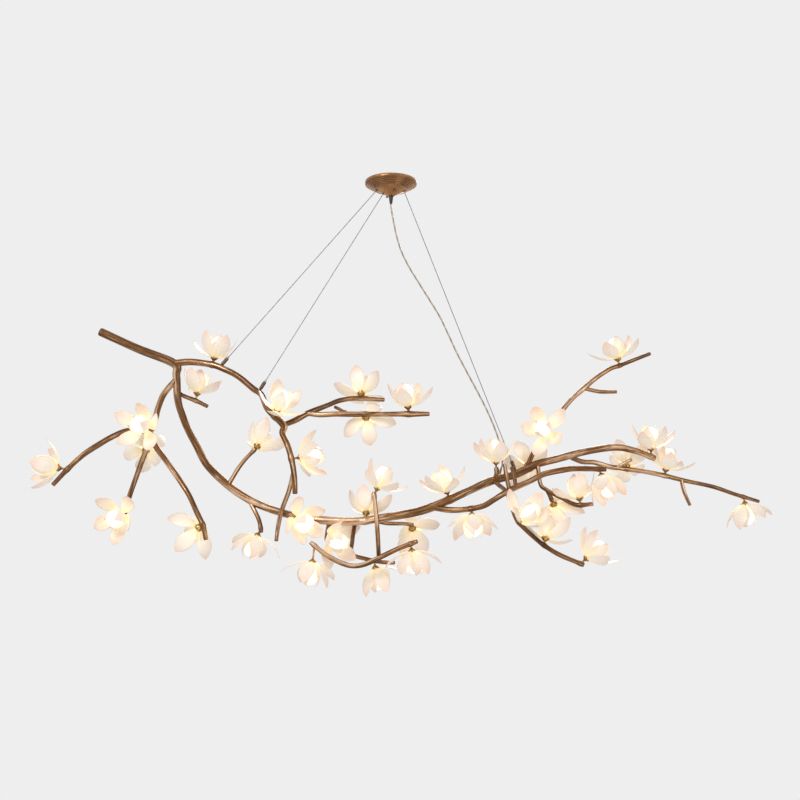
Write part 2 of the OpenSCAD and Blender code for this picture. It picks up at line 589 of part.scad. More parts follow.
// A branch with its roots coped to what it is brazed on, and drilled for every stem it carries
module branch(name) {
    row = branch_row(name);
    color(bronze)
    difference() {
        union() branch_body(name);
        for (parent = row[3])
            branch_body(parent);
        for (b = BLOSSOMS)
            if (b[1] == name)
                aim(b[2], b[3])
                    translate([0, 0, -stem_depth - run_gap])
                        cylinder(d = stem_bore_d, h = drill_l, $fn = small);
        for (i = [0 : 2])
            if (wire_branch[i] == name)
                aim(wire_feet[i], wire_heading(i))
                    translate([0, 0, -stem_depth - run_gap])
                        cylinder(d = grip_neck_d + 2 * run_gap, h = drill_l, $fn = small);
        if (name == "trunk")
            aim(inlet_seat, inlet_heading)
                translate([0, 0, -stem_depth - run_gap])
                    cylinder(d = grip_neck_d + 2 * run_gap, h = drill_l, $fn = small);
    }
}

// ---------------------------------------------------------------- blossom pieces
// Brass calyx on its hollow stem; the top of its rim is calyx_top above the branch's middle line
module lamp_holder(row) {
    foot = calyx_foot(row);
    difference() {
        union() {
            translate([0, 0, -stem_depth])
                cylinder(d = stem_d, h = stem_depth + foot + 1, $fn = small);
            translate([0, 0, foot])
                cylinder(d1 = stem_d + 2, d2 = calyx_d, h = calyx_h, $fn = small);
            translate([0, 0, foot + calyx_h]) cylinder(d = calyx_d, h = calyx_rim_h, $fn = small);
        }
        translate([0, 0, -stem_depth - 1]) cylinder(d = stem_d / 2, h = far / 4, $fn = small);
    }
}

module led_module() {
    cylinder(d = chip_d + 1.4, h = module_h, $fn = small);
    cylinder(d = chip_d, h = module_h + 1, $fn = small);
}

// Side of the bud as the arc of a circle, turned about the axis
module bud_profile(curve_r, wall, from_z) {
    intersection() {
        difference() {
            translate([-bud_offset, bud_middle_h]) circle(r = curve_r, $fn = fine);
            translate([-bud_offset, bud_middle_h]) circle(r = curve_r - wall, $fn = fine);
        }
        translate([bud_tip_r, from_z]) square([far / 4, far / 4]);
    }
}

// The lamp cover follows the inside of the bud; its tip and the top of its hollow are small flats
module lamp_cover() {
    rotate_extrude($fn = fine)
        difference() {
            intersection() {
                translate([-bud_offset, bud_middle_h]) circle(r = cover_curve_r, $fn = fine);
                square([far / 4, bud_middle_h + cover_tip_h]);
            }
            intersection() {
                translate([-bud_offset, bud_middle_h])
                    circle(r = cover_curve_r - cover_wall, $fn = fine);
                translate([-1, -1]) square([far / 4, bud_middle_h + cover_tip_h - cover_wall]);
            }
        }
}

module inner_petal(lean) {
    foot_r = calyx_d / 2 - inner_petal_t;
    translate([foot_r, 0, seat_gap]) rotate([0, lean, 0]) translate([-foot_r, 0, 0])
        rotate([0, 0, -inner_petal_angle / 2])
            rotate_extrude(angle = inner_petal_angle, $fn = fine)
                bud_profile(bud_curve_r, inner_petal_t, 0.2);
}

// Outline of an outer petal: a narrow foot, widest past the middle, and a round tip
function petal_half_width(u) =
    petal_foot_w / 2 * (1 - u) + petal_w / 2 * pow(sin(180 * pow(u, 1.35)), 0.75);
petal_edge = [for (i = [0 : petal_edge_points - 1])
    let (u = 1 - pow(1 - i / petal_edge_points, 1.4))
    [(petal_l - petal_root) * u, petal_half_width(u)]];
module petal_outline() {
    last = petal_edge_points - 1;
    polygon(concat(petal_edge, [[petal_l - petal_root, 0]],
        [for (i = [last : -1 : 0]) [petal_edge[i][0], -petal_edge[i][1]]]));
}

module outer_petal(opening) {
    difference() {
        translate([petal_root, 0, petal_root_z]) rotate([0, -opening, 0])
            intersection() {
                difference() {
                    translate([0, 0, petal_curl_r]) sphere(r = petal_curl_r, $fn = fine);
                    translate([0, 0, petal_curl_r])
                        sphere(r = petal_curl_r - outer_petal_t, $fn = fine);
                }
                translate([1, 0, -1]) linear_extrude(petal_curl_r * 0.8) petal_outline();
            }
        translate([0, 0, -far / 8])
            cylinder(r = calyx_d / 2 + seat_gap, h = far / 4, $fn = small);
    }
}

function lean_of(b, j) = lean_mean + lean_spread * sin(59 * b + 127 * j);
function opening_of(b, j) = opening_mean + opening_spread * sin(137 * b + 101 * j);
function turn_of(b, j) = BLOSSOMS[b][5] + 360 * j / outer_petals + turn_spread * sin(83 * b + 211 * j);

module petals(group) {
    color(ivory)
    for (b = [0 : len(BLOSSOMS) - 1])
        if (BLOSSOMS[b][0] == group)
            aim(BLOSSOMS[b][2], BLOSSOMS[b][3]) translate([0, 0, calyx_top(BLOSSOMS[b])]) {
                for (j = [0 : 2])
                    rotate([0, 0, BLOSSOMS[b][5] + 45 + 120 * j]) inner_petal(lean_of(b, j));
                for (j = [0 : outer_petals - 1])
                    rotate([0, 0, turn_of(b, j)]) outer_petal(opening_of(b, j));
            }
}

module lamp_holders() {
    color(brass)
    for (b = BLOSSOMS)
        aim(b[2], b[3]) lamp_holder(b);
}

module led_modules() {
    color("gold")
    for (b = BLOSSOMS)
        aim(b[2], b[3]) translate([0, 0, calyx_top(b)]) led_module();
}

module lamp_covers() {
    color("white")
    for (b = BLOSSOMS)
        aim(b[2], b[3]) translate([0, 0, calyx_top(b)]) lamp_cover();
}

canopy_shell();
ceiling_bracket();
suspension_bar();
wire_sockets();
canopy_screws();
led_driver();
terminal_block();
cord_gland();
wire(0);  // wire_left_outer
wire(1);  // wire_left_inner
wire(2);  // wire_right
wire_grips();
release_sleeve(0);  // sleeve_left_outer
release_sleeve(1);  // sleeve_left_inner
release_sleeve(2);  // sleeve_right
power_cord();
cord_inlet();
branch("trunk");  // trunk
branch("top_branch");  // top_branch
branch("upper_fork");  // upper_fork
branch("lower_fork");  // lower_fork
branch("fan_left");  // fan_left
branch("fan_middle");  // fan_middle
branch("fan_right");  // fan_right
branch("crown_twig");  // crown_twig
branch("inner_twig");  // inner_twig
branch("drop_twig");  // drop_twig
branch("cross_twig");  // cross_twig
branch("ring_twig");  // ring_twig
branch("rear_bow");  // rear_bow
branch("lower_bow");  // lower_bow
branch("post_twig");  // post_twig
branch("rear_twig");  // rear_twig
branch("front_branch");  // front_branch
branch("ladder");  // ladder
branch("low_right");  // low_right
branch("mid_twig");  // mid_twig
branch("upper_right");  // upper_right
branch("rear_branch");  // rear_branch
lamp_holders();
led_modules();
lamp_covers();
petals("petals_fan_left");  // petals_fan_left
petals("petals_fan_middle");  // petals_fan_middle
petals("petals_fan_right");  // petals_fan_right
petals("petals_top");  // petals_top
petals("petals_hanging");  // petals_hanging
petals("petals_drop");  // petals_drop
petals("petals_fork");  // petals_fork
petals("petals_post");  // petals_post
petals("petals_ring");  // petals_ring
petals("petals_bow");  // petals_bow
petals("petals_trunk");  // petals_trunk
petals("petals_front");  // petals_front
petals("petals_upper_right");  // petals_upper_right
petals("petals_low_right");  // petals_low_right
petals("petals_mid");  // petals_mid
petals("petals_rear");  // petals_rear
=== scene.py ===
"""Looks of the branch chandelier: bronze boughs, lit magnolia blossoms, canopy and wires."""

import math

import bpy
import numpy as np
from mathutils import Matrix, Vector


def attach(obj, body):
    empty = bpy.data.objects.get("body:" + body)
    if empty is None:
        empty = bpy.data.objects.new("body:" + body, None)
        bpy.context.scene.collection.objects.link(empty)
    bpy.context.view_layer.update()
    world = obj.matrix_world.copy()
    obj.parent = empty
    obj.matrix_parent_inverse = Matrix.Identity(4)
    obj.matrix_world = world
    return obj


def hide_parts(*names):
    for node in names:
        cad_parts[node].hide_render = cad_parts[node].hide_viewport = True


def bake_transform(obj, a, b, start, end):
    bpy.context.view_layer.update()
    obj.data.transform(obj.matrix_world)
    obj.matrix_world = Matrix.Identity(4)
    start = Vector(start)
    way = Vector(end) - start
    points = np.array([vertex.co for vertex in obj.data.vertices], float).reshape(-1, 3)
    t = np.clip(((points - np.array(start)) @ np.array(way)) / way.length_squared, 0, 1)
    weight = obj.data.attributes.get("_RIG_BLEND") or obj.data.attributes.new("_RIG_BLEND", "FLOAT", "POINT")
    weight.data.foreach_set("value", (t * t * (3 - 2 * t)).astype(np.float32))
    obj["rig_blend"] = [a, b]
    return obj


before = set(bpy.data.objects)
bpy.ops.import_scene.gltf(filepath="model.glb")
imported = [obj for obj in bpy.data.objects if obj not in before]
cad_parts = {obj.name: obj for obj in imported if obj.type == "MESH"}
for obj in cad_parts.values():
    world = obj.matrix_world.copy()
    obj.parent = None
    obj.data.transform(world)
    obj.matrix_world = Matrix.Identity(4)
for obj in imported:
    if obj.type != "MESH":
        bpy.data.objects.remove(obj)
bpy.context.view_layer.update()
MM = 0.001

# ------------------------------------------------------------------ camera
camera_data = bpy.data.cameras.new("camera")
camera_data.lens = 45
camera_data.sensor_width = 36
camera_data.clip_end = 40
camera = bpy.data.objects.new("camera", camera_data)
camera.location = (0.0234, -2.5, -0.925)
camera.rotation_euler = (math.radians(98), 0, 0)
bpy.context.scene.collection.objects.link(camera)
bpy.context.scene.camera = camera


# ------------------------------------------------------------------ colours and node helpers
def srgb(r, g, b):
    out = []
    for value in (r, g, b):
        v = value / 255
        out.append(v / 12.92 if v <= 0.04045 else ((v + 0.055) / 1.055) ** 2.4)
    return (out[0], out[1], out[2], 1)


class Material:
    """A node material, with short calls for the nodes that the finishes share."""

    def __init__(self, name):
        self.mat = bpy.data.materials.new(name)
        self.mat.use_nodes = True
        self.nodes = self.mat.node_tree.nodes
        self.links = self.mat.node_tree.links
        self.nodes.clear()
        self.out = self.nodes.new("ShaderNodeOutputMaterial")
        self.shader = self.nodes.new("ShaderNodeBsdfPrincipled")
        self.links.new(self.shader.outputs[0], self.out.inputs[0])

    def set(self, **values):
        for key, value in values.items():
            self.shader.inputs[key.replace("_", " ")].default_value = value
        return self

    def link(self, a, b):
        self.links.new(a, b)

    def attribute(self, name, vector=False):
        n = self.nodes.new("ShaderNodeAttribute")
        n.attribute_name = name
        return n.outputs["Vector"] if vector else n.outputs["Fac"]

    def coordinates(self):
        return self.nodes.new("ShaderNodeTexCoord").outputs["Object"]

    def mapped(self, vector, scale):
        n = self.nodes.new("ShaderNodeMapping")
        n.inputs["Scale"].default_value = scale
        self.link(vector, n.inputs["Vector"])
        return n.outputs[0]

    def noise(self, vector, scale, detail=4, roughness=0.55, distortion=0):
        n = self.nodes.new("ShaderNodeTexNoise")
        n.inputs["Scale"].default_value = scale
        n.inputs["Detail"].default_value = detail
        n.inputs["Roughness"].default_value = roughness
        n.inputs["Distortion"].default_value = distortion
        self.link(vector, n.inputs["Vector"])
        return n.outputs["Fac"]

    def ramp(self, value, *stops):
        n = self.nodes.new("ShaderNodeValToRGB")
        while len(n.color_ramp.elements) < len(stops):
            n.color_ramp.elements.new(0.5)
        for element, (at, colour) in zip(n.color_ramp.elements, stops):
            element.position = at
            element.color = colour
        self.link(value, n.inputs[0])
        return n.outputs[0]

    def range(self, value, low, high, to_low, to_high):
        n = self.nodes.new("ShaderNodeMapRange")
        for at, number in enumerate((low, high, to_low, to_high)):
            n.inputs[at + 1].default_value = number
        self.link(value, n.inputs[0])
        return n.outputs[0]

    def math(self, kind, a, b):
        n = self.nodes.new("ShaderNodeMath")
        n.operation = kind
        for socket, value in zip(n.inputs, (a, b)):
            if isinstance(value, (int, float)):
                socket.default_value = value
            else:
                self.link(value, socket)
        return n.outputs[0]

    def mix(self, factor, a, b, kind="MIX"):
        n = self.nodes.new("ShaderNodeMix")
        n.data_type = "RGBA"
        n.blend_type = kind
        for socket, value in ((n.inputs[0], factor), (n.inputs[6], a), (n.inputs[7], b)):
            if isinstance(value, (int, float, tuple)):
                socket.default_value = value
            else:
                self.link(value, socket)
        return n.outputs[2]

    def bump(self, height, distance, strength=0.5):
        n = self.nodes.new("ShaderNodeBump")
        n.inputs["Distance"].default_value = distance
        n.inputs["Strength"].default_value = strength
        self.link(height, n.inputs["Height"])
        self.link(n.outputs[0], self.shader.inputs["Normal"])
        return self


# ------------------------------------------------------------------ mesh helpers
def lattice_noise(p, seed):
    """Smooth noise between -1 and 1 at the points p."""
    base = np.floor(p).astype(np.int64)
    f = p - base
    f = f * f * (3 - 2 * f)
    total = np.zeros(len(p))
    for corner in range(8):
        step = np.array([(corner >> k) & 1 for k in range(3)])
        c = base + step
        h = (c[:, 0] * 73856093) ^ (c[:, 1] * 19349663) ^ (c[:, 2] * 83492791) ^ (seed * 2654435)
        h = (h ^ (h >> 13)) * 1274126177
        value = ((h ^ (h >> 16)) & 0xFFFF) / 32767.5 - 1
        weight = np.prod(np.where(step, f, 1 - f), axis=1)
        total += weight * value
    return total


def make_object(name, verts, faces, attributes=None, smooth=True):
    mesh = bpy.data.meshes.new(name)
    mesh.from_pydata(np.asarray(verts).tolist(), [], [list(map(int, f)) for f in faces])
    for key, values in (attributes or {}).items():
        values = np.asarray(values, dtype=np.float32)
        kind = "FLOAT_VECTOR" if values.ndim == 2 else "FLOAT"
        layer = mesh.attributes.new(key, kind, "POINT")
        layer.data.foreach_set("vector" if values.ndim == 2 else "value", values.ravel())
    if smooth:
        mesh.polygons.foreach_set("use_smooth", [True] * len(mesh.polygons))
    mesh.update()
    o = bpy.data.objects.new(name, mesh)
    bpy.context.scene.collection.objects.link(o)
    return o


class Builder:
    """Gathers grids into one mesh."""

    def __init__(self):
        self.verts, self.faces, self.attributes, self.count = [], [], {}, 0

    def add(self, verts, faces, **attributes):
        verts = np.asarray(verts, dtype=float)
        self.verts.append(verts)
        self.faces.extend([[i + self.count for i in f] for f in faces])
        for key, values in attributes.items():
            self.attributes.setdefault(key, []).append(np.asarray(values, dtype=float))
        self.count += len(verts)

    def build(self, name, material, body, replaced=(), slot=None, smooth=True):
        merged = {k: np.concatenate(v) for k, v in self.attributes.items()}
        o = make_object(name, np.concatenate(self.verts) * MM, self.faces, merged, smooth)
        o.data.materials.append(material)
        if body:
            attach(o, body)
        if replaced:
            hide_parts(*replaced)
        return o


def grid_faces(rows, cols, wrap):
    faces = []
    last = cols if wrap else cols - 1
    for i in range(rows - 1):
        for j in range(last):
            a, b = i * cols + j, i * cols + (j + 1) % cols
            faces.append((a, b, b + cols, a + cols))
    return faces


def catmull(route, steps):
    route = np.asarray(route, dtype=float)
    ends = [2 * route[0] - route[1]], [2 * route[-1] - route[-2]]
    padded = np.concatenate([ends[0], route, ends[1]])
    out = []
    for i in range(len(route) - 1):
        a, b, c, d = padded[i:i + 4]
        for t in np.arange(steps) / steps:
            out.append(0.5 * (2 * b + (c - a) * t + (2 * a - 5 * b + 4 * c - d) * t ** 2
                              + (3 * b - a - 3 * c + d) * t ** 3))
    out.append(route[-1])
    return np.array(out)


def resample(points, spacing):
    steps = np.linalg.norm(np.diff(points[:, :3], axis=0), axis=1)
    lengths = np.concatenate([[0], np.cumsum(steps)])
    count = max(int(round(lengths[-1] / spacing)), 2) + 1
    at = np.linspace(0, lengths[-1], count)
    columns = [np.interp(at, lengths, points[:, k]) for k in range(points.shape[1])]
    return np.column_stack(columns), at


def frames_along(centre):
    """Directions along a line, and a pair across it that doesn't twist."""
    along = np.gradient(centre, axis=0)
    along /= np.linalg.norm(along, axis=1)[:, None]
    start = np.cross(along[0], [0, 1, 0])
    across = [start / np.linalg.norm(start)]
    for t in along[1:]:
        a = across[-1] - t * np.dot(across[-1], t)
        across.append(a / np.linalg.norm(a))
    across = np.array(across)
    return along, across, np.cross(along, across)


def aim_matrix(direction):
    """The turn that part.scad gives a blossom: +Z to the direction."""
    d = np.asarray(direction, dtype=float)
    d /= np.linalg.norm(d)
    tilt, turn = math.acos(d[2]), math.atan2(d[1], d[0])
    ry = np.array([[math.cos(tilt), 0, math.sin(tilt)], [0, 1, 0],
                   [-math.sin(tilt), 0, math.cos(tilt)]])
    return turn_z(turn) @ ry


def turn_z(angle):
    return np.array([[math.cos(angle), -math.sin(angle), 0], [math.sin(angle), math.cos(angle), 0],
                     [0, 0, 1]])


def lathe(profile, sides, wobble=None):
    """A closed profile of (radius, height) turned about Z; the profile runs round the solid."""
    profile = np.asarray(profile, dtype=float)
    angles = np.linspace(0, 2 * math.pi, sides, endpoint=False)
    r = profile[:, 0][:, None] * np.ones(sides)
    if wobble is not None:
        r = r + wobble(profile[:, 0][:, None], profile[:, 1][:, None], angles[None, :])
    x = r * np.cos(angles)
    y = r * np.sin(angles)
    z = profile[:, 1][:, None] * np.ones(sides)
    verts = np.stack([x, y, z], axis=2).reshape(-1, 3)
    return verts, grid_faces(len(profile), sides, True)


# ------------------------------------------------------------------ routes, as in the part's source
INLET_SEAT = np.array([272.0, 27, -770])
INLET_END = np.array([281.0, 50, -744])
CORD_D = 4.6
CORD_ROUTE = [[0, 0, -59.1], [0, 0, -67], [2, 0, -80], [6, 0, -103], [14, 2, -142], [26, 4, -183],
              [46, 6, -225], [70, 8, -265], [98, 11, -310], [127, 15, -358], [148, 20, -402],
              [169, 26, -447], [197, 34, -500], [228, 45, -556], [256, 56, -612], [277, 66, -665],
              [286, 70, -700], list(INLET_END + (INLET_END - INLET_SEAT) / 2), list(INLET_END)]

TRUNK, BRANCH, TWIG = 20, 14, 11
ROUTES = {
    "trunk": (TRUNK, [[
        [-730, -30, -405, 1.08], [-640, -20, -445, 1.03], [-550, 0, -480, 1.12],
        [-544, 5, -510, 1], [-540, 10, -570, 0.95], [-528, 15, -610, 0.95],
        [-512, 20, -650, 0.93], [-490, 25, -690, 0.95], [-462, 25, -738, 0.95],
        [-410, 25, -787, 1.02], [-356, 20, -823, 0.97], [-300, 15, -847, 1],
        [-240, 8, -864, 0.97], [-175, 0, -874, 1.03], [-85, -10, -878, 1], [-12, -15, -868, 1.02],
        [60, -10, -856, 1.03], [107, 0, -841, 1.1], [155, 10, -820, 1.03], [203, 20, -798, 1],
        [255, 25, -776, 1.05], [316, 30, -759, 1.05], [369, 30, -734, 1], [422, 30, -720, 0.97],
        [492, 35, -702, 0.9], [568, 45, -690, 0.85], [621, 55, -696, 0.8], [677, 65, -715, 0.72]]]),
    "top_branch": (BRANCH, [[
        [-550, 0, -480, 1.3], [-505, -5, -477, 1.25], [-451, -10, -485, 1.22],
        [-412, -20, -501, 1.15], [-378, -30, -520, 1.15], [-341, -40, -551, 1.18],
        [-319, -50, -568, 1.15], [-302, -55, -605, 1.15], [-263, -60, -644, 1.28],
        [-265, -62, -665, 1.1], [-251, -70, -695, 1.05], [-239, -75, -735, 1],
        [-232, -80, -773, 0.95], [-230, -80, -812, 0.85]]]),
    "upper_fork": (BRANCH, [[
        [-263, -60, -644, 1], [-235, -50, -631, 1.05], [-206, -35, -612, 1.08],
        [-160, -15, -590, 0.95], [-129, 0, -575, 0.97], [-86, 15, -567, 0.93],
        [-18, 30, -568, 0.8]]]),
    "lower_fork": (BRANCH, [
        [[-206, -35, -612, 0.9], [-175, -46, -617, 0.95], [-136, -50, -616, 0.93],
         [-84, -55, -617, 0.97], [12, -60, -617, 0.92], [45, -62, -617, 1.08],
         [94, -65, -617, 0.85]],
        [[-139, -8, -593, 0.65], [-101, -53, -616, 0.65]]]),
    "fan_left": (BRANCH, [[
        [-545, 5, -520, 1], [-569, -15, -560, 1.05], [-579, -30, -597, 1.05],
        [-583, -40, -626, 1.1], [-595, -45, -655, 1.25], [-630, -60, -656, 1.05],
        [-662, -75, -667, 1], [-703, -90, -694, 1], [-736, -105, -721, 0.95],
        [-768, -120, -757, 0.92], [-797, -130, -794, 0.82]]]),
    "fan_middle": (BRANCH, [[
        [-595, -45, -655, 1], [-600, -40, -693, 1], [-620, -20, -738, 0.95],
        [-643, 0, -792, 0.93], [-665, 20, -847, 0.92], [-670, 25, -864, 0.85]]]),
    "fan_right": (BRANCH, [[
        [-595, -45, -655, 1], [-578, -50, -694, 1], [-546, -65, -734, 0.95],
        [-514, -80, -773, 0.93], [-484, -90, -816, 0.93], [-464, -95, -855, 0.95],
        [-446, -100, -889, 0.88], [-438, -100, -922, 0.78]]]),
    "crown_twig": (TWIG, [[
        [-541, 8, -548, 1.1], [-532, 22, -558, 1.05], [-500, 38, -570, 1.02],
        [-472, 50, -583, 0.88]]]),
    "inner_twig": (TWIG, [[[-410, 25, -787, 1], [-376, 10, -736, 1], [-339, 0, -697, 0.9]]]),
    "drop_twig": (TWIG, [[[-355, 20, -825, 1], [-329, 10, -872, 1], [-321, 5, -904, 0.88]]]),
    "cross_twig": (TWIG, [[
        [-234, -78, -760, 1], [-248, -50, -805, 1], [-268, -14, -848, 1.02], [-278, -8, -890, 1],
        [-281, -15, -925, 0.88]]]),
    "ring_twig": (TWIG, [[[-150, -3, -875, 1.1], [-157, 12, -905, 1.1], [-158, 20, -927, 1.05]]]),
    "rear_bow": (TWIG, [[
        [-87, -10, -878, 1], [-95, 16, -925, 1], [-96, 33, -958, 1], [-60, 40, -971, 1],
        [-22, 40, -978, 1], [9, 33, -980, 0.88]]]),
    "lower_bow": (TWIG, [[
        [-195, -25, -930, 0.95], [-152, -28, -963, 1.08], [-105, -30, -984, 1.15],
        [-68, -30, -984, 1.15], [-26, -28, -966, 1.2], [21, -30, -944, 1.08],
        [65, -35, -927, 0.95]]]),
    "post_twig": (TWIG, [[
        [-28, -28, -966, 1.05], [-32, -28, -901, 1], [-36, -29, -854, 1.02],
        [-41, -28, -808, 0.95]]]),
    "rear_twig": (TWIG, [[
        [-45, -12, -874, 1], [-10, 8, -882, 1], [35, 25, -883, 0.92], [55, 35, -886, 0.85]]]),
    "front_branch": (BRANCH, [[
        [105, 0, -843, 1.15], [146, -12, -850, 1.05], [186, -25, -849, 1], [227, -35, -841, 1],
        [255, -38, -825, 1.02], [290, -40, -804, 1.1], [341, -42, -781, 1.02],
        [376, -45, -764, 1.03], [427, -50, -753, 1.07], [460, -55, -751, 1],
        [524, -65, -753, 0.9]]]),
    "ladder": (TWIG, [
        [[258, 25, -775, 1], [286, -40, -806, 1]],
        [[262, 25, -773, 1], [266, 12, -756, 1], [265, 10, -744, 0.9]],
        [[284, -9, -738, 0.9], [287, -22, -768, 1], [292, -40, -803, 1]],
        [[303, -3, -745, 0.9], [307, -18, -768, 0.95], [308, -40, -796, 1]]]),
    "low_right": (TWIG, [[
        [286, -40, -806, 1.1], [302, -50, -860, 1.1], [312, -55, -881, 1.1],
        [337, -65, -908, 1.08], [369, -75, -936, 1.08], [407, -85, -960, 1.08],
        [459, -95, -982, 0.95]]]),
    "mid_twig": (TWIG, [
        [[372, 30, -733, 1], [375, 10, -784, 0.95], [389, 0, -800, 0.95], [424, -15, -821, 0.93],
         [458, -25, -838, 1], [496, -35, -836, 0.88]],
        [[389, 0, -800, 0.85], [398, -3, -818, 0.85], [401, -5, -828, 0.8]]]),
    "upper_right": (TWIG, [
        [[342, 30, -747, 1.2], [368, 40, -694, 1.15], [394, 50, -655, 1.18],
         [423, 55, -616, 1.15], [464, 60, -567, 1.12], [496, 60, -538, 1.2],
         [534, 65, -506, 1.08], [571, 70, -482, 1.05], [600, 75, -471, 1],
         [681, 90, -438, 0.88]],
        [[500, 60, -535, 0.9], [538, 50, -545, 0.9], [579, 40, -547, 0.8]]]),
    "rear_branch": (TWIG, [
        [[447, 30, -712, 1.2], [488, 55, -725, 1.18], [523, 70, -726, 1.15],
         [562, 80, -736, 1.18], [594, 88, -740, 1.15], [644, 95, -746, 1.08],
         [697, 100, -755, 1.1], [765, 105, -771, 1], [837, 110, -786, 1],
         [898, 115, -806, 0.93], [959, 120, -824, 0.8]],
        [[582, 85, -739, 0.85], [620, 75, -718, 0.78]],
        [[755, 104, -769, 0.88], [760, 100, -800, 0.88], [772, 95, -834, 0.8]]]),
}

# Petal group, carrying branch, seat, direction, lift of the calyx and turn of the first petal
BLOSSOMS = [
    ("petals_fan_left", "fan_left", [-768, -120, -757], [-1, -0.3, 0.15], 7, 20),
    ("petals_fan_middle", "fan_middle", [-668, 23, -856], [-0.2, -1, -0.35], 6, 70),
    ("petals_fan_left", "fan_left", [-595, -45, -655], [-0.2, -1, 0.15], 13, 28),
    ("petals_fan_middle", "fan_middle", [-603, -37, -700], [-0.3, 1, -0.1], 4, 10),
    ("petals_fan_right", "fan_right", [-447, -99, -887], [-0.6, 0.8, -0.4], 5, 50),
    ("petals_top", "crown_twig", [-500, 38, -570], [0.15, 0.1, 1], 7, 75),
    ("petals_top", "top_branch", [-451, -10, -485], [0.25, 0, 1], 4, 15),
    ("petals_top", "top_branch", [-284, -58, -623], [0.35, -0.55, 0.8], 6, 40),
    ("petals_hanging", "inner_twig", [-343, 1, -702], [0.35, 0.8, 0.75], 7, 65),
    ("petals_hanging", "top_branch", [-240, -74, -728], [1, -0.35, 0.1], 9, 30),
    ("petals_drop", "drop_twig", [-323, 6, -895], [-0.4, -0.2, -1], 7, 25),
    ("petals_drop", "trunk", [-240, 8, -864], [0.6, -0.9, -0.4], 8, 63),
    ("petals_fork", "upper_fork", [-76, 17, -567], [0, 0.9, 1], 4, 20),
    ("petals_fork", "lower_fork", [-62, -56, -617], [0.05, 1, -0.3], 4, 60),
    ("petals_fork", "lower_fork", [45, -62, -617], [-0.1, 0, 1], 4, 10),
    ("petals_post", "post_twig", [-40, -28, -816], [0.4, -0.1, 1], 8, 35),
    ("petals_post", "trunk", [-62, -12, -875], [0.05, 0.6, 0.8], 5, 36),
    ("petals_ring", "ring_twig", [-158, 17, -920], [0.6, -0.8, -0.2], 6, 50),
    ("petals_ring", "lower_bow", [-186, -25, -937], [-0.1, -0.15, -1], 28, 12),
    ("petals_bow", "rear_bow", [-42, 40, -974], [0.2, 0.1, -1], 7, 60),
    ("petals_bow", "lower_bow", [50, -33, -933], [0.15, -0.05, -1], 5, 70),
    ("petals_bow", "rear_twig", [52, 33, -886], [0.15, 1, -0.55], 5, 30),
    ("petals_trunk", "trunk", [148, 9, -823], [-0.4, -0.2, 1], 4, 15),
    ("petals_front", "front_branch", [198, -28, -847], [0.1, -0.5, -1], 5, 45),
    ("petals_trunk", "ladder", [265, 10, -750], [-0.05, -0.25, 1], 8, 25),
    ("petals_upper_right", "upper_right", [398, 51, -650], [-0.35, -1, 0.1], 6, 55),
    ("petals_trunk", "trunk", [352, 30, -743], [-0.2, 1, 0.3], 4, 20),
    ("petals_low_right", "low_right", [312, -55, -881], [0.5, -1, 0.6], 6, 65),
    ("petals_low_right", "low_right", [369, -75, -936], [0.3, 0.5, 1], 6, 38),
    ("petals_mid", "mid_twig", [400, -5, -822], [0.35, 0.7, -0.65], 8, 50),
    ("petals_low_right", "low_right", [452, -94, -979], [0.8, -0.2, 0.7], 7, 10),
    ("petals_mid", "mid_twig", [468, -28, -838], [-0.15, 0.1, 1], 4, 56),
    ("petals_front", "front_branch", [508, -62, -752], [0.3, -0.3, -1], 5, 30),
    ("petals_upper_right", "upper_right", [596, 74, -472], [-0.2, 0, 1], 5, 60),
    ("petals_rear", "rear_branch", [610, 90, -742], [0.2, 0.9, 0.5], 4, 15),
    ("petals_rear", "trunk", [668, 63, -711], [-0.05, -0.3, 1], 4, 45),
    ("petals_rear", "rear_branch", [711, 101, -758], [0.2, -0.1, 1], 4, 70),
    ("petals_rear", "rear_branch", [919, 117, -812], [0.1, 0, -1], 6, 30),
]

# ------------------------------------------------------------------ finishes
def bark_material():
    m = Material("bark_bronze")
    vector = m.attribute("bark", vector=True)
    ridge = m.attribute("ridge")
    fibres = m.noise(m.mapped(vector, (1, 1, 0.06)), 260, 4, 0.6, 0.2)
    creases = m.noise(m.mapped(vector, (1, 1, 0.03)), 560, 3, 0.55, 0.15)
    patches = m.noise(m.mapped(vector, (1, 1, 0.5)), 30, 3, 0.6)
    colour = m.ramp(fibres, (0.30, srgb(58, 34, 15)), (0.44, srgb(106, 69, 34)),
                    (0.57, srgb(134, 92, 49)), (0.72, srgb(202, 157, 113)))
    colour = m.mix(m.range(patches, 0.5, 0.7, 0, 0.35), colour, srgb(156, 106, 68))
    # Darker along the crease lines of the bump: painted shade in the creases.
    colour = m.mix(m.range(creases, 0.42, 0.3, 0, 0.6), colour, srgb(52, 31, 16))
    # Darker where the bark relief is low: painted shade in the hollows. The blunt ends, marked low, come out
    # darker too.
    colour = m.mix(m.range(ridge, 0.05, -0.5, 0, 0.9), colour, srgb(48, 27, 12))
    # Lighter on the raised ridges: painted highlight, partly also wear on the raised bark.
    colour = m.mix(m.range(ridge, 0.3, 0.75, 0, 0.75), colour, srgb(234, 196, 160))
    m.link(colour, m.shader.inputs["Base Color"])
    m.link(m.range(fibres, 0.3, 0.7, 0.38, 0.2), m.shader.inputs["Roughness"])
    m.set(Metallic=0.6)
    m.bump(m.math("ADD", fibres, m.math("MULTIPLY", creases, 0.6)), 0.001, 0.6)
    return m.mat


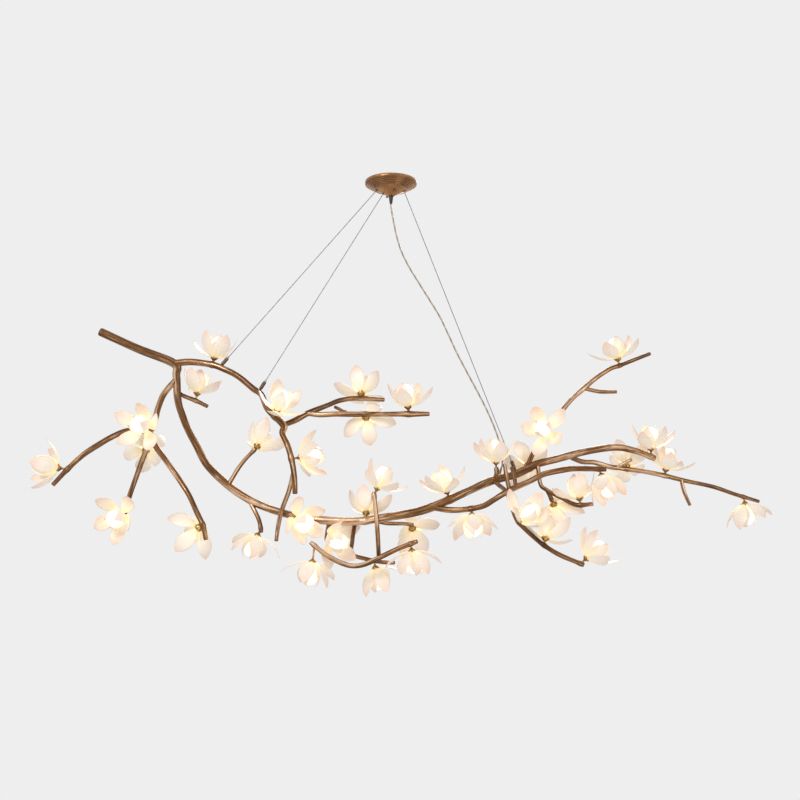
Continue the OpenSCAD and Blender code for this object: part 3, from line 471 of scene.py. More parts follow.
def canopy_material():
    m = Material("canopy_bronze")
    vector = m.coordinates()
    ridge = m.attribute("ridge")
    cloud = m.noise(vector, 22, 2, 0.5)
    creases = m.noise(m.mapped(vector, (1, 1, 0.5)), 42, 2, 0.5, 1.5)
    colour = m.ramp(cloud, (0.35, srgb(148, 102, 58)), (0.55, srgb(170, 121, 73)),
                    (0.7, srgb(190, 140, 90)))
    # Darker in the hollows and lighter on the crests of the bump pattern: painted shade and painted
    # highlight.
    colour = m.mix(m.range(creases, 0.42, 0.34, 0, 0.3), colour, srgb(100, 64, 36))
    colour = m.mix(m.range(creases, 0.6, 0.68, 0, 0.35), colour, srgb(214, 172, 126))
    # Darker and lighter bands following the stepped rings: painted shade and painted highlight on the steps.
    colour = m.mix(m.range(ridge, -0.1, -0.9, 0, 0.6), colour, srgb(98, 62, 34))
    colour = m.mix(m.range(ridge, 0.35, 1, 0, 0.6), colour, srgb(220, 176, 130))
    m.link(m.range(cloud, 0.3, 0.7, 0.28, 0.36), m.shader.inputs["Roughness"])
    m.link(colour, m.shader.inputs["Base Color"])
    m.set(Metallic=0.6)
    m.bump(creases, 0.002, 0.5)
    return m.mat


def petal_material():
    m = Material("petal_porcelain")
    along, tip, glow = m.attribute("along"), m.attribute("tip"), m.attribute("glow")
    vein_vector = m.attribute("vein", vector=True)
    veins = m.noise(m.mapped(vein_vector, (1, 0.1, 1)), 420, 3, 0.55, 0.3)
    cloud = m.noise(vein_vector, 60, 3, 0.5)
    ivory = m.ramp(along, (0.0, srgb(250, 232, 194)), (0.25, srgb(248, 234, 210)),
                   (0.6, srgb(242, 229, 214)), (1.0, srgb(236, 218, 206)))
    peach = m.mix(cloud, srgb(234, 190, 160), srgb(238, 206, 182))
    colour = m.mix(m.math("MULTIPLY", tip, m.range(cloud, 0.3, 0.7, 0.7, 1.1)), ivory, peach)
    colour = m.mix(m.range(veins, 0.52, 0.75, 0, 0.3), colour, srgb(226, 196, 160))
    m.link(colour, m.shader.inputs["Base Color"])
    m.set(Roughness=0.42, Coat_Weight=0.15, Coat_Roughness=0.25)
    m.bump(m.math("ADD", veins, m.math("MULTIPLY", cloud, 0.5)), 0.0003, 0.25)
    m.mat.cycles.emission_sampling = "NONE"
    # Emission makes the petals glow: painted light of the lamp shining through them, strongest at the foot.
    light = m.ramp(along, (0.0, srgb(255, 222, 154)), (0.3, srgb(255, 234, 192)),
                   (0.7, srgb(255, 236, 208)), (1.0, srgb(255, 222, 202)))
    m.link(light, m.shader.inputs["Emission Color"])
    m.link(m.math("MULTIPLY", glow, m.range(veins, 0.3, 0.8, 1.0, 0.86)),
           m.shader.inputs["Emission Strength"])
    return m.mat


def cover_material():
    m = Material("lamp_cover_glass")
    cloud = m.noise(m.coordinates(), 90, 3, 0.5)
    m.link(m.mix(cloud, srgb(255, 246, 224), srgb(255, 252, 242)), m.shader.inputs["Base Color"])
    m.link(m.mix(cloud, srgb(255, 240, 200), srgb(255, 249, 230)),
           m.shader.inputs["Emission Color"])
    m.set(Roughness=0.5, Emission_Strength=0.72)
    m.bump(cloud, 0.0002, 0.2)
    m.mat.cycles.emission_sampling = "NONE"
    return m.mat


def brass_material():
    m = Material("calyx_brass")
    vector = m.coordinates()
    streaks = m.noise(m.mapped(vector, (1, 1, 0.4)), 420, 4, 0.6)
    patina = m.noise(vector, 130, 3, 0.55)
    colour = m.ramp(streaks, (0.3, srgb(120, 84, 40)), (0.5, srgb(176, 134, 76)),
                    (0.7, srgb(222, 184, 120)))
    m.link(m.mix(m.range(patina, 0.5, 0.7, 0, 0.6), colour, srgb(84, 62, 34)),
           m.shader.inputs["Base Color"])
    m.link(m.range(patina, 0.3, 0.7, 0.28, 0.46), m.shader.inputs["Roughness"])
    m.set(Metallic=0.92)
    m.bump(streaks, 0.0003, 0.4)
    return m.mat


def steel_material(name, tone, scale=600, stretch=(1, 1, 0.1)):
    m = Material(name)
    vector = m.coordinates()
    brushed = m.noise(m.mapped(vector, stretch), scale, 4, 0.6)
    dull = m.noise(vector, 60, 3, 0.5)
    dark = srgb(*(int(v * 0.72) for v in tone))
    light = srgb(*(min(int(v * 1.15), 255) for v in tone))
    m.link(m.mix(m.range(brushed, 0.3, 0.7, 0, 1), dark, light), m.shader.inputs["Base Color"])
    m.link(m.range(dull, 0.3, 0.7, 0.3, 0.48), m.shader.inputs["Roughness"])
    m.set(Metallic=0.85)
    m.bump(brushed, 0.0002, 0.3)
    return m.mat


def plastic_material(name, colour, shade, rough):
    m = Material(name)
    vector = m.coordinates()
    grain = m.noise(vector, 1600, 3, 0.6)
    cloud = m.noise(vector, 45, 3, 0.5)
    m.link(m.mix(m.range(cloud, 0.35, 0.65, 0, 1), srgb(*shade), srgb(*colour)),
           m.shader.inputs["Base Color"])
    m.link(m.range(grain, 0.3, 0.7, rough, rough + 0.12), m.shader.inputs["Roughness"])
    m.bump(grain, 0.0002, 0.4)
    return m.mat


def cord_material():
    m = Material("cord_sheath")
    twist = m.attribute("twist")
    streak = m.noise(m.mapped(m.attribute("bark", vector=True), (1, 1, 0.2)), 700, 3, 0.6)
    colour = m.ramp(twist, (0.2, srgb(138, 132, 122)), (0.5, srgb(172, 163, 150)),
                    (0.8, srgb(200, 178, 150)))
    m.link(m.mix(m.range(streak, 0.4, 0.75, 0, 0.4), colour, srgb(110, 96, 80)),
           m.shader.inputs["Base Color"])
    m.set(Roughness=0.3, Coat_Weight=0.5, Coat_Roughness=0.15)
    m.bump(streak, 0.0002, 0.3)
    return m.mat


BARK = bark_material()
BRONZE = canopy_material()
GRIP_BRONZE = steel_material("grip_bronze", (104, 84, 68), 500, (1, 1, 0.5))
PETAL = petal_material()
COVER = cover_material()
BRASS = brass_material()
WIRE = steel_material("wire_steel", (138, 138, 138), 900)
PLATE = steel_material("bracket_steel", (176, 176, 172), 300, (0.1, 1, 1))
SLEEVE = steel_material("sleeve_steel", (170, 168, 164), 800)
WHITE = plastic_material("white_plastic", (232, 232, 228), (214, 214, 208), 0.42)
BLACK = plastic_material("black_plastic", (42, 36, 32), (24, 20, 18), 0.4)
CORD = cord_material()
LED = plastic_material("led_board", (238, 214, 120), (220, 190, 90), 0.35)


# ------------------------------------------------------------------ cord first
def swept(route_points, radius_of, sides, spacing, builder):
    pts, at = resample(route_points, spacing)
    along, across, up = frames_along(pts[:, :3])
    angles = np.linspace(0, 2 * math.pi, sides, endpoint=False)
    radius, attributes = radius_of(pts, at, angles)
    ring = np.cos(angles)[None, :, None] * across[:, None, :] + np.sin(angles)[None, :, None] \
        * up[:, None, :]
    verts = (pts[:, None, :3] + radius[:, :, None] * ring).reshape(-1, 3)
    faces = grid_faces(len(pts), sides, True)
    n = len(pts) * sides
    faces.append(tuple(range(sides))[::-1])
    faces.append(tuple(range(n - sides, n)))
    builder.add(verts, faces, **attributes)
    return pts, at


def cord_radius(_pts, at, angles):
    lobes = np.cos(2 * (angles[None, :] - at[:, None] * 2 * math.pi / 46))
    radius = CORD_D / 2 - 0.12 + 0.1 * lobes
    bark = np.stack([radius * np.cos(angles), radius * np.sin(angles),
                     at[:, None] * np.ones(len(angles))], axis=2).reshape(-1, 3) * MM
    return radius, {"bark": bark, "twist": (0.5 + 0.5 * lobes).ravel()}


# The cord bends between these two places, in metres; below them it rides with the bough
CORD_BLEND_START, CORD_BLEND_END = (0, 0, -0.062), (0.014, 0.002, -0.142)
cord = Builder()
cord_line = catmull(CORD_ROUTE, 8)
cord_points, cord_at = swept(cord_line, cord_radius, 16, 2.0, cord)
cord_object = cord.build("power_cord_tube", CORD, None, ("power_cord",), "cord_sheath")
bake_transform(cord_object, "canopy", "hung_frame", start=CORD_BLEND_START, end=CORD_BLEND_END)


# ------------------------------------------------------------------ branches
def knots_on(name):
    return [np.array(b[2], dtype=float) for b in BLOSSOMS if b[1] == name]


def branch_mesh(name):
    full, routes = ROUTES[name]
    builder = Builder()
    seats = knots_on(name)
    for number, route in enumerate(routes):
        line = catmull(route, 10)
        pts, at = resample(line, 2.2)
        along, across, up = frames_along(pts[:, :3])
        sides = 56 if full == TRUNK else 44
        angles = np.linspace(0, 2 * math.pi, sides, endpoint=False)
        radius = pts[:, 3] * full / 2
        for seat in seats:
            gap = np.linalg.norm(pts[:, :3] - seat, axis=1)
            radius = radius + 1.3 * np.exp(-(gap / 7) ** 2)
        seed = (sum(ord(c) for c in name) * 7 + number * 31) % 9973
        th = angles[None, :] + 0.004 * at[:, None]
        s = at[:, None] * np.ones(sides)
        c, sn = np.cos(th), np.sin(th)

        def field(around, length, k):
            p = np.stack([c * around + 40, sn * around + 40, s / length + 40], axis=2)
            return lattice_noise(p.reshape(-1, 3), seed + k).reshape(s.shape)

        ridges = 1 - 2 * np.abs(field(1.7, 80, 1))
        fibres = 1 - 2 * np.abs(field(3.6, 55, 2))
        dents = field(1.6, 11, 3)
        swell = field(0.5, 45, 4)
        streaks = field(0.75, 120, 5)
        height = 0.3 * ridges + 0.25 * fibres + 0.15 * dents + 0.7 * streaks
        scale = full / TRUNK
        r = radius[:, None] * (1 + 0.05 * swell) + (1.1 * height - 0.4) * (0.55 + 0.45 * scale)
        # The relief height also goes to the material, which paints shade into its hollows and a highlight
        # onto its ridges.
        ridge = height
        # blunt ends: three short rings and a middle point; their low marks make the bark material colour
        # them darker
        rows, rads, shift, marks = [], [], [], []
        for k, (out, shrink) in enumerate(((0.30, 0.0), (0.34, 0.45), (0.30, 0.8), (0.12, 0.97))):
            rows.append(0)
            rads.append(r[0] * shrink)
            shift.append(-out * radius[0])
            marks.append(np.full(sides, -0.9 + 0.3 * k))
        n = len(pts)
        index = np.concatenate([rows, np.arange(n), np.full(4, n - 1)]).astype(int)
        all_r = np.concatenate([np.array(rads), r, np.array([r[-1] * q for q in
                                                             (0.97, 0.8, 0.45, 0.0)])])
        all_shift = np.concatenate([shift, np.zeros(n), np.array([0.12, 0.30, 0.34, 0.30])
                                    * radius[-1]])
        all_ridge = np.concatenate([np.array(marks), ridge,
                                    np.array([np.full(sides, v) for v in (0, -0.3, -0.6, -0.9)])])
        centre = pts[index, :3] + all_shift[:, None] * along[index]
        ring = np.cos(angles)[None, :, None] * across[index][:, None, :] \
            + np.sin(angles)[None, :, None] * up[index][:, None, :]
        verts = (centre[:, None, :] + all_r[:, :, None] * ring).reshape(-1, 3)
        along_mm = at[index] + all_shift + number * 777
        bark = np.stack([all_r * np.cos(angles), all_r * np.sin(angles),
                         along_mm[:, None] * np.ones(sides)], axis=2).reshape(-1, 3) * MM
        builder.add(verts, grid_faces(len(index), sides, True), bark=bark,
                    ridge=all_ridge.ravel())
    return builder


for branch_name in ROUTES:
    branch_mesh(branch_name).build("bough_" + branch_name, BARK, "hung_frame", (branch_name,),
                                   "bronze")


# ------------------------------------------------------------------ blossoms
CALYX_D, CALYX_H, CALYX_RIM = 19.6, 6, 4
BUD_R, BUD_CURVE, BUD_MIDDLE = 22, 34, 26
PETAL_ROOT, PETAL_FOOT_W, PETAL_L, PETAL_W, PETAL_CURL = 8, 7, 72, 37, 78
PETAL_T = 1.6
INNER_PETALS, LEAN_MEAN, LEAN_SPREAD = 3, 4, 3
OUTER_PETALS, OPENING_MEAN, OPENING_SPREAD, TURN_SPREAD = 5, 15, 18, 3


def shell(grid, thickness):
    """Closes a grid of points into a thin skin; thickness is given at each point."""
    rows, cols = grid.shape[:2]
    du = np.gradient(grid, axis=0)
    dv = np.gradient(grid, axis=1)
    normal = np.cross(du, dv)
    normal /= np.maximum(np.linalg.norm(normal, axis=2), 1e-9)[:, :, None]
    top = grid + normal * thickness[:, :, None] / 2
    bottom = grid - normal * thickness[:, :, None] / 2
    n = rows * cols
    faces = grid_faces(rows, cols, False)
    faces += [tuple(v + n for v in f[::-1]) for f in grid_faces(rows, cols, False)]
    rim = [j for j in range(cols)] + [i * cols + cols - 1 for i in range(1, rows)] \
        + [(rows - 1) * cols + j for j in range(cols - 2, -1, -1)] \
        + [i * cols for i in range(rows - 2, 0, -1)]
    for k, a in enumerate(rim):
        b = rim[(k + 1) % len(rim)]
        faces.append((b, a, a + n, b + n))
    return np.concatenate([top.reshape(-1, 3), bottom.reshape(-1, 3)]), faces


def outer_petal(opening, seed):
    """A spoon-shaped petal in the blossom's frame, pointing along +X."""
    r = np.random.default_rng(seed)
    rows, cols = 22, 13
    u = 1 - (1 - np.linspace(0, 1, rows)) ** 1.5
    w = np.linspace(-1, 1, cols)
    length = PETAL_L - PETAL_ROOT - 0.8
    half = PETAL_FOOT_W / 2 * (1 - u) + (PETAL_W / 2 - 0.3) * np.sin(
        np.clip(math.pi * u ** 1.35, 0, math.pi)) ** 0.72
    half = np.maximum(half, 0.4)
    notch = 0.6 * r.random()
    x = 1 + length * u[:, None] - notch * np.exp(-(w[None, :] / 0.3) ** 2) * u[:, None] ** 6
    side = r.uniform(-1.2, 1.2)
    y = w[None, :] * half[:, None] + side * np.sin(math.pi * u)[:, None]
    radius = PETAL_CURL - PETAL_T / 2
    z = radius - np.sqrt(np.maximum(radius ** 2 - x ** 2 - y ** 2, 0)) + PETAL_T / 2
    tip_curl = r.uniform(-1.6, 1.4) * np.maximum(0, (u - 0.7) / 0.3)[:, None] ** 2
    groove = -0.55 * np.exp(-(w / 0.16) ** 2)[None, :] * np.sin(math.pi * u)[:, None]
    ripple = 0.8 * np.sin(2 * math.pi * (u[:, None] * r.uniform(1.0, 1.8) + r.random())
                          + 1.5 * np.sign(w)[None, :]) * np.abs(w)[None, :] ** 3 \
        * np.sin(math.pi * u)[:, None]
    z = z + tip_curl + groove + ripple
    grid = np.stack([x, y, z], axis=2)
    edge = 1 - np.abs(w)[None, :] ** 4 * np.ones(rows)[:, None]
    thick = PETAL_T * (0.3 + 0.7 * edge * (1 - 0.6 * u[:, None] ** 3))
    verts, faces = shell(grid, thick)
    tilt = math.radians(-opening)
    ry = np.array([[math.cos(tilt), 0, math.sin(tilt)], [0, 1, 0],
                   [-math.sin(tilt), 0, math.cos(tilt)]])
    verts = verts @ ry.T + [PETAL_ROOT, 0, 0.5 - CALYX_RIM]
    uu = (u[:, None] * np.ones(cols)).ravel()
    ww = (w[None, :] * np.ones(rows)[:, None]).ravel()
    blush = r.uniform(0.65, 1.0)
    tip = np.clip((uu - 0.72) / 0.28, 0, 1) ** 1.5 * blush + 0.35 * blush * np.abs(ww) ** 5 \
        * np.clip((uu - 0.25) / 0.5, 0, 1)
    # Painted glow: emission strongest near the lamp at the petal's foot.
    glow = 0.12 + 0.3 * np.exp(-uu / 0.36)
    vein = np.stack([ww * 0.016, uu * 0.045, np.full(len(uu), r.random())], axis=1)
    return verts, faces, np.tile(uu, 2), np.tile(tip, 2), np.tile(glow, 2), np.tile(vein, (2, 1))


def inner_petal(lean, seed):
    """One of the three petals round the lamp, pointing along +X."""
    r = np.random.default_rng(seed)
    rows, cols = 22, 15
    u = 1 - (1 - np.linspace(0, 1, rows)) ** 1.4
    w = np.linspace(-1, 1, cols)
    low = math.asin(-BUD_MIDDLE / BUD_CURVE)
    high = math.asin(math.sqrt(BUD_CURVE ** 2 - (BUD_CURVE - BUD_R) ** 2) / BUD_CURVE)
    arc = low + (high - low) * u * r.uniform(0.9, 0.98)
    radius = -(BUD_CURVE - BUD_R) + (BUD_CURVE - 0.7) * np.cos(arc)
    z = BUD_MIDDLE + BUD_CURVE * np.sin(arc)
    point = np.clip((1.01 - u) / 0.62, 0, 1) ** 0.6
    angle = (w[None, :] + r.uniform(-0.05, 0.05)) * math.radians(55) \
        * (0.1 + 0.9 * point * np.minimum(1, 0.75 + u))[:, None]
    flare = r.uniform(2.5, 8) * np.maximum(0, (u - 0.4) / 0.6)[:, None] ** 1.6
    curl = r.uniform(1.0, 2.6) * np.abs(w)[None, :] ** 3 * np.clip(u / 0.4, 0, 1)[:, None]
    groove = -0.4 * np.exp(-(w / 0.2) ** 2)[None, :] * np.sin(math.pi * u)[:, None]
    wave = 0.8 * np.sin(5 * u[:, None] + 3 * w[None, :] + 6 * r.random()) * np.abs(w)[None, :] ** 2
    rad = np.maximum(radius[:, None] + flare + curl + groove + wave * u[:, None], 0.8)
    grid = np.stack([rad * np.cos(angle), rad * np.sin(angle),
                     z[:, None] * np.ones(cols)[None, :] + 0.2], axis=2)
    edge = 1 - np.abs(w)[None, :] ** 4 * np.ones(rows)[:, None]
    verts, faces = shell(grid, 1.3 * (0.35 + 0.65 * edge))
    tilt = math.radians(lean)
    foot = np.array([CALYX_D / 2 - 1.4, 0, 0.2])
    ry = np.array([[math.cos(tilt), 0, math.sin(tilt)], [0, 1, 0],
                   [-math.sin(tilt), 0, math.cos(tilt)]])
    verts = (verts - foot) @ ry.T + foot
    uu = (u[:, None] * np.ones(cols)).ravel()
    ww = (w[None, :] * np.ones(rows)[:, None]).ravel()
    tip = np.clip((uu - 0.66) / 0.34, 0, 1) ** 1.4 * r.uniform(0.6, 1.0)
    # Painted glow: emission strongest near the lamp at the petal's foot.
    glow = 0.15 + 0.28 * np.exp(-uu / 0.5)
    vein = np.stack([ww * 0.02, uu * 0.06, np.full(len(uu), r.random())], axis=1)
    return verts, faces, np.tile(uu, 2), np.tile(tip, 2), np.tile(glow, 2), np.tile(vein, (2, 1))


def bulb_profile():
    """The frosted cover: the bud's curve, closed by a round tip."""
    inset, tip = 1.4 + 1.2, 26
    radius = BUD_CURVE - inset
    low = math.asin(-BUD_MIDDLE / radius)
    high = math.asin((tip - 1.5) / radius)
    out = [(0.01, 0)]
    for a in np.linspace(low, high, 26):
        out.append((radius * math.cos(a) - (BUD_CURVE - BUD_R), BUD_MIDDLE + radius * math.sin(a)))
    r, z = out[-1]
    top = BUD_MIDDLE + tip
    for t in np.linspace(0.1, 1, 9):
        turn = t * math.pi / 2
        out.append((max(r * math.cos(turn), 0.01), z + (top - z) * math.sin(turn)))
    return out


def place_part(part, matrix, origin, builder):
    verts, faces, along, tip, glow, vein = part
    builder.add(verts @ matrix.T + origin, faces, along=along, tip=tip, glow=glow, vein=vein)


def calyx_profile():
    r, h = CALYX_D / 2, CALYX_H
    return [(0.01, -1.5), (2.4, -1.4), (3.4, -0.6), (3.9, 0.2), (4.3, 0.9), (5.6, 1.8),
            (7.6, 3.6), (8.7, 5.0), (9.3, 6.0), (r - 0.1, 6.4), (r, 7.0), (r - 0.35, 7.4),
            (r, 7.9), (r, 9.2), (r - 0.4, h + CALYX_RIM - 0.15), (r - 1.6, h + CALYX_RIM - 0.1),
            (3, h + CALYX_RIM - 0.2), (0.01, h + CALYX_RIM - 0.2)]


groups = {}
holders, bulbs = Builder(), Builder()
for number, (group, branch_name, seat, direction, lift, spin) in enumerate(BLOSSOMS):
    matrix = aim_matrix(direction)
    foot = ROUTES[branch_name][0] / 2 + lift
    axis = matrix @ np.array([0, 0, 1.0])
    seat = np.array(seat, dtype=float)
    top = seat + axis * (foot + CALYX_H + CALYX_RIM)
    builder = groups.setdefault(group, Builder())
    for j in range(INNER_PETALS):
        turn = turn_z(math.radians(spin + 45 + 360 / INNER_PETALS * j))
        lean = LEAN_MEAN + LEAN_SPREAD * math.sin(math.radians(59 * number + 127 * j))
        place_part(inner_petal(lean, number * 20 + j), matrix @ turn, top, builder)
    verts, faces = lathe(bulb_profile(), 40)
    bulbs.add(verts @ matrix.T + top, faces)
    for j in range(OUTER_PETALS):
        opening = OPENING_MEAN + OPENING_SPREAD * math.sin(math.radians(137 * number + 101 * j))
        azimuth = spin + 360 / OUTER_PETALS * j \
            + TURN_SPREAD * math.sin(math.radians(83 * number + 211 * j))
        place_part(outer_petal(opening, number * 20 + 10 + j),
                   matrix @ turn_z(math.radians(azimuth)), top, builder)
    verts, faces = lathe(calyx_profile(), 40)
    holders.add(verts @ matrix.T + seat + axis * foot, faces)
    stem = [(0.01, 0), (2.5, 0), (2.5, foot * 0.35), (2.2, foot * 0.6), (2.5, foot - 0.8),
            (3.1, foot), (0.01, foot)]
    verts, faces = lathe(stem, 24)
    holders.add(verts @ matrix.T + seat, faces)

for group, builder in groups.items():
    builder.build("blossoms_" + group[7:], PETAL, "hung_frame", (group,), "petal")
holders.build("calyxes", BRASS, "hung_frame", ("lamp_holders",), "calyx_brass")
bulbs.build("lamp_buds", COVER, "hung_frame", ("lamp_covers",), "lamp_glass")


# ------------------------------------------------------------------ wires, grips and sleeves
WIRE_TOPS = np.array([[-28.0, 0, -12], [-8, 0, -12], [29, 0, -12]])
WIRE_FEET = np.array([[-432.0, -15, -493], [-328, -46, -561], [318, 30, -758]])
WIRE_BRANCH_R = [7 * 1.15, 7 * 1.15, 10 * 1.15]
WIRE_NODES = ["wire_left_outer", "wire_left_inner", "wire_right"]
SLEEVES = [("sleeve_left_outer", "release_left_outer"), ("sleeve_left_inner", "release_left_inner"),
           ("sleeve_right", "release_right")]


STRAND_R = 1.1


def strand_radius(_pts, at, angles):
    lobes = np.abs(np.cos(3 * (angles[None, :] - at[:, None] * 2 * math.pi / 14)))
    return STRAND_R * (0.80 + 0.20 * lobes), {}


grips = Builder()
for i, node in enumerate(WIRE_NODES):
    direction = WIRE_TOPS[i] - WIRE_FEET[i]
    length = np.linalg.norm(direction)
    direction = direction / length
    matrix = aim_matrix(direction)
    wire = Builder()
    start = WIRE_FEET[i] + direction * (WIRE_BRANCH_R[i] + 5.7)
    line = np.array([start, WIRE_TOPS[i]])
    swept(line, strand_radius, 18, 0.9, wire)
    ball = [(max(4 * math.sin(a), 0.01), -4 * math.cos(a)) for a in np.linspace(0, math.pi, 15)]
    verts, faces = lathe(ball, 28)
    wire.add(verts @ matrix.T + WIRE_TOPS[i], faces)
    wire.build("strand_" + node[5:], WIRE, "hung_frame", (node,), "wire_steel")

    foot = WIRE_BRANCH_R[i]
    body = foot + 3
    knurl_lines = 24

    def knurl(r, z, a, low=body + 3.5, high=body + 11.5):
        inside = (z > low) & (z < high) & (r > 4)
        return np.where(inside, 0.16 * np.cos(knurl_lines * a + (z - low) * 3.2) - 0.16, 0)

    heights = np.arange(body + 3.4, body + 11.7, 0.4)
    profile = [(0.01, -2), (3, -2), (3, body - 1.2), (3.6, body - 0.4), (4.1, body),
               (4.45, body + 0.6), (4.5, body + 1.2), (4.5, body + 2.6), (4.2, body + 3.0)]
    profile += [(4.5, z) for z in heights]
    profile += [(4.2, body + 12.1), (4.5, body + 12.5), (4.5, body + 18.6), (4.1, body + 19.4),
                (3.55, body + 19.9), (3.4, body + 20), (3.4, body + 12.1), (1.2, body + 12)]
    verts, faces = lathe(profile, 96, knurl)
    grips.add(verts @ matrix.T + WIRE_FEET[i], faces)

    node_name, body_name = SLEEVES[i]
    low = body + 12 + 2.3
    sleeve = Builder()
    ring = [(1.2, low), (2.9, low), (3.1, low + 0.3), (3.1, low + 6.7), (2.95, low + 7.1),
            (2.5, low + 8.6), (2.35, low + 8.8), (2.3, low + 9.2), (1.95, low + 11.6),
            (1.7, low + 12), (1.2, low + 12), (1.2, low)]
    verts, faces = lathe(ring, 48)
    sleeve.add(verts @ matrix.T + WIRE_FEET[i], faces)
    sleeve.build("release_" + node_name, SLEEVE, body_name, (node_name,), "wire_steel")
grips.build("grips", GRIP_BRONZE, "hung_frame", ("wire_grips",), "bronze")


# ------------------------------------------------------------------ canopy
DOME_R, RIM_H, RIDGES, BAND, DROP, FLAT_R, CANOPY_H, WALL = 67.5, 5, 6, 28, 16, 8.5, 39, 1.6


def canopy_profile():
    step, fall = BAND / RIDGES, DROP / RIDGES
    out = [(DOME_R - 0.4, 0), (DOME_R, -0.5), (DOME_R, -RIM_H + 0.8)]
    for i in range(RIDGES):
        r, z = DOME_R - i * step, -RIM_H - i * fall
        out += [(r, z - 0.1), (r + 0.1, z - fall * 0.7), (r - 0.5, z - fall * 1.15),
                (r - 1.5, z - fall * 1.3), (r - step * 0.7, z - fall * 1.1),
                (r - step * 0.96, z - fall * 0.85)]
    out += [(DOME_R - BAND, -RIM_H - DROP)]
    for t in np.linspace(0.08, 1, 14):
        out.append((DOME_R - BAND + (FLAT_R - DOME_R + BAND) * t,
                    -RIM_H - DROP - (CANOPY_H - RIM_H - DROP) * t))
    out += [(4.3, -CANOPY_H), (4.3, -CANOPY_H + WALL), (FLAT_R, -CANOPY_H + WALL),
            (DOME_R - BAND - WALL, -RIM_H - DROP + WALL), (DOME_R - WALL, -RIM_H + WALL / 2),
            (DOME_R - WALL, 0), (DOME_R - 0.4, 0)]
    return out


def hammered(r, z, a):
    p = np.stack([np.cos(a) * r / 9 + 50, np.sin(a) * r / 9 + 50, z / 6 + a * 0 + 50], axis=2)
    dents = lattice_noise(p.reshape(-1, 3), 11).reshape(p.shape[:2])
    return np.where((z < -0.6) & (r > 5) & (r < DOME_R - 1), 0.08 * dents, 0)


canopy = Builder()
verts, faces = lathe(canopy_profile(), 160, hammered)
reach = np.hypot(verts[:, 0], verts[:, 1])
phase = (DOME_R - reach) / (BAND / RIDGES)
# A mark across each stepped ring, which the material turns into painted shade and highlight.
groove = np.where((reach > DOME_R - BAND) & (verts[:, 2] < -RIM_H), -np.cos(2 * math.pi * phase), 0)
canopy.add(verts, faces, ridge=groove)
canopy_object = canopy.build("canopy_dome", BRONZE, "canopy", ("canopy_shell",), "bronze")
cutters = []
for i in range(3):
    direction = WIRE_FEET[i] - WIRE_TOPS[i]
    matrix = aim_matrix(direction)
    verts, faces = lathe([(0.01, 6), (4, 6), (4, 60), (0.01, 60)], 40)
    cutters.append(make_object("cutter", (verts @ matrix.T + WIRE_TOPS[i]) * MM, faces))
for cutter in cutters:
    modifier = canopy_object.modifiers.new("hole", "BOOLEAN")
    modifier.operation = "DIFFERENCE"
    modifier.solver = "EXACT"
    modifier.object = cutter
depsgraph = bpy.context.evaluated_depsgraph_get()
drilled = bpy.data.meshes.new_from_object(canopy_object.evaluated_get(depsgraph))
canopy_object.modifiers.clear()
canopy_object.data = drilled
for cutter in cutters:
    bpy.data.objects.remove(cutter)

# ------------------------------------------------------------------ finishes of the CAD nodes
NODE_FINISH = {"ceiling_bracket": PLATE, "suspension_bar": PLATE, "wire_sockets": PLATE,
               "canopy_screws": GRIP_BRONZE, "led_driver": WHITE, "terminal_block": WHITE,
               "cord_gland": BLACK, "cord_inlet": BRASS, "led_modules": LED}
for node, finish in NODE_FINISH.items():
    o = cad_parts[node]
    for k in range(len(o.material_slots)):
        o.material_slots[k].material = finish

# ------------------------------------------------------------------ floor and light
BACKGROUND = srgb(238, 238, 239)


def camera_ray_factor(nodes, links):
    path = nodes.new("ShaderNodeLightPath")
    either = nodes.new("ShaderNodeMath")
    either.operation = "MAXIMUM"
    links.new(path.outputs["Is Camera Ray"], either.inputs[0])
    links.new(path.outputs["Is Glossy Ray"], either.inputs[1])
    third = nodes.new("ShaderNodeMath")
    third.operation = "MAXIMUM"
    links.new(either.outputs[0], third.inputs[0])
    links.new(path.outputs["Is Transmission Ray"], third.inputs[1])
    return third.outputs[0]


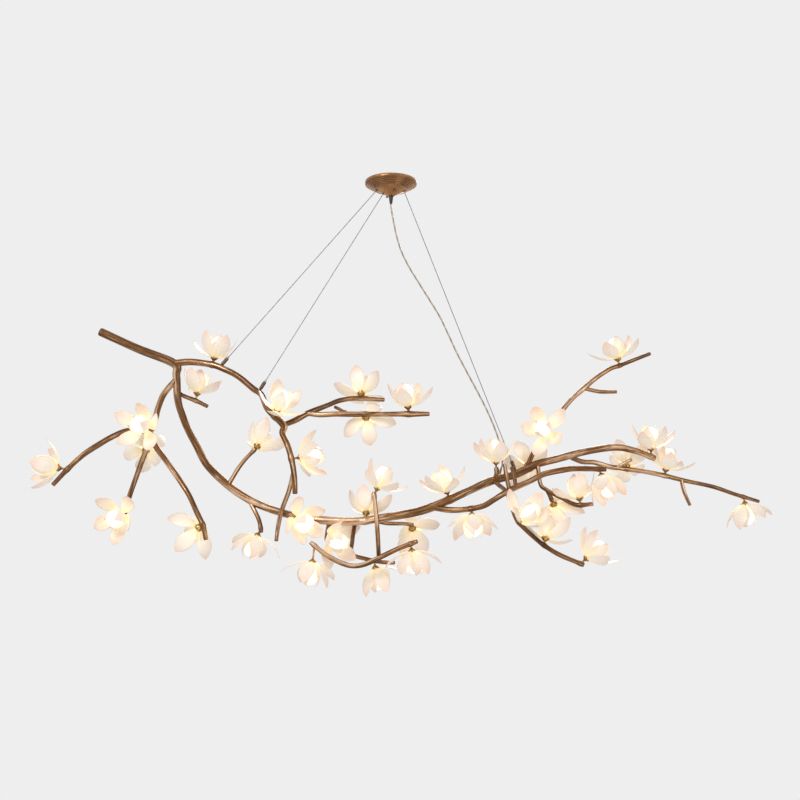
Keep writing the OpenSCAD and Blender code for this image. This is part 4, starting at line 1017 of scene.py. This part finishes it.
world = bpy.data.worlds.new("world")
bpy.context.scene.world = world
world.use_nodes = True
wn, wl = world.node_tree.nodes, world.node_tree.links
wn.clear()
world_out = wn.new("ShaderNodeOutputWorld")
seen = wn.new("ShaderNodeBackground")
seen.inputs[0].default_value = BACKGROUND
seen.inputs[1].default_value = 1
ambient = wn.new("ShaderNodeBackground")
ambient.inputs[0].default_value = (0.92, 0.95, 1, 1)
ambient.inputs[1].default_value = 0.45
world_mix = wn.new("ShaderNodeMixShader")
wl.new(camera_ray_factor(wn, wl), world_mix.inputs[0])
wl.new(ambient.outputs[0], world_mix.inputs[1])
wl.new(seen.outputs[0], world_mix.inputs[2])
wl.new(world_mix.outputs[0], world_out.inputs[0])

floor_m = Material("floor_pale")
floor_m.shader.inputs["Base Color"].default_value = srgb(225, 225, 226)
floor_m.set(Roughness=0.9)
flat = floor_m.nodes.new("ShaderNodeEmission")
flat.inputs[0].default_value = BACKGROUND
blend = floor_m.nodes.new("ShaderNodeMixShader")
spread = floor_m.nodes.new("ShaderNodeTexGradient")
spread.gradient_type = "SPHERICAL"
floor_m.link(floor_m.mapped(floor_m.coordinates(), (0.45, 0.45, 0.45)), spread.inputs[0])
keep = floor_m.range(spread.outputs["Fac"], 0.1, 0.8, 1.0, 0.55)
floor_m.link(floor_m.math("MULTIPLY", camera_ray_factor(floor_m.nodes, floor_m.links), keep),
             blend.inputs[0])
floor_m.link(floor_m.shader.outputs[0], blend.inputs[1])
floor_m.link(flat.outputs[0], blend.inputs[2])
floor_m.link(blend.outputs[0], floor_m.out.inputs[0])
angles = np.linspace(0, 2 * math.pi, 48, endpoint=False)
disc = np.stack([2.2 * np.cos(angles), 2.2 * np.sin(angles), np.zeros(48)], axis=1)
floor = make_object("floor", disc, [list(range(48))])
floor.location = (0, 0, -2.35)
floor.data.materials.append(floor_m.mat)


def area_light(name, place, target, size, power, colour=(1, 1, 1)):
    data = bpy.data.lights.new(name, "AREA")
    data.shape = "DISK"
    data.size = size
    data.energy = power
    data.color = colour
    lamp = bpy.data.objects.new(name, data)
    lamp.location = place
    aim = np.array(target) - np.array(place)
    aim = aim / np.linalg.norm(aim)
    lamp.rotation_euler = (math.acos(-aim[2]), 0, math.atan2(-aim[0], aim[1]))
    bpy.context.scene.collection.objects.link(lamp)
    return lamp


area_light("key", (-1.6, -2.6, 0.9), (0, 0, -0.7), 1.6, 50)
area_light("fill", (2.2, -2.2, -0.4), (0.1, 0, -0.75), 1.8, 22)
area_light("rim", (0.4, 2.4, 0.8), (0, 0, -0.7), 1.6, 30)
area_light("low", (0, -1.6, -2.2), (0, 0, -0.6), 1.6, 10)

bpy.context.scene.view_settings.view_transform = "Standard"
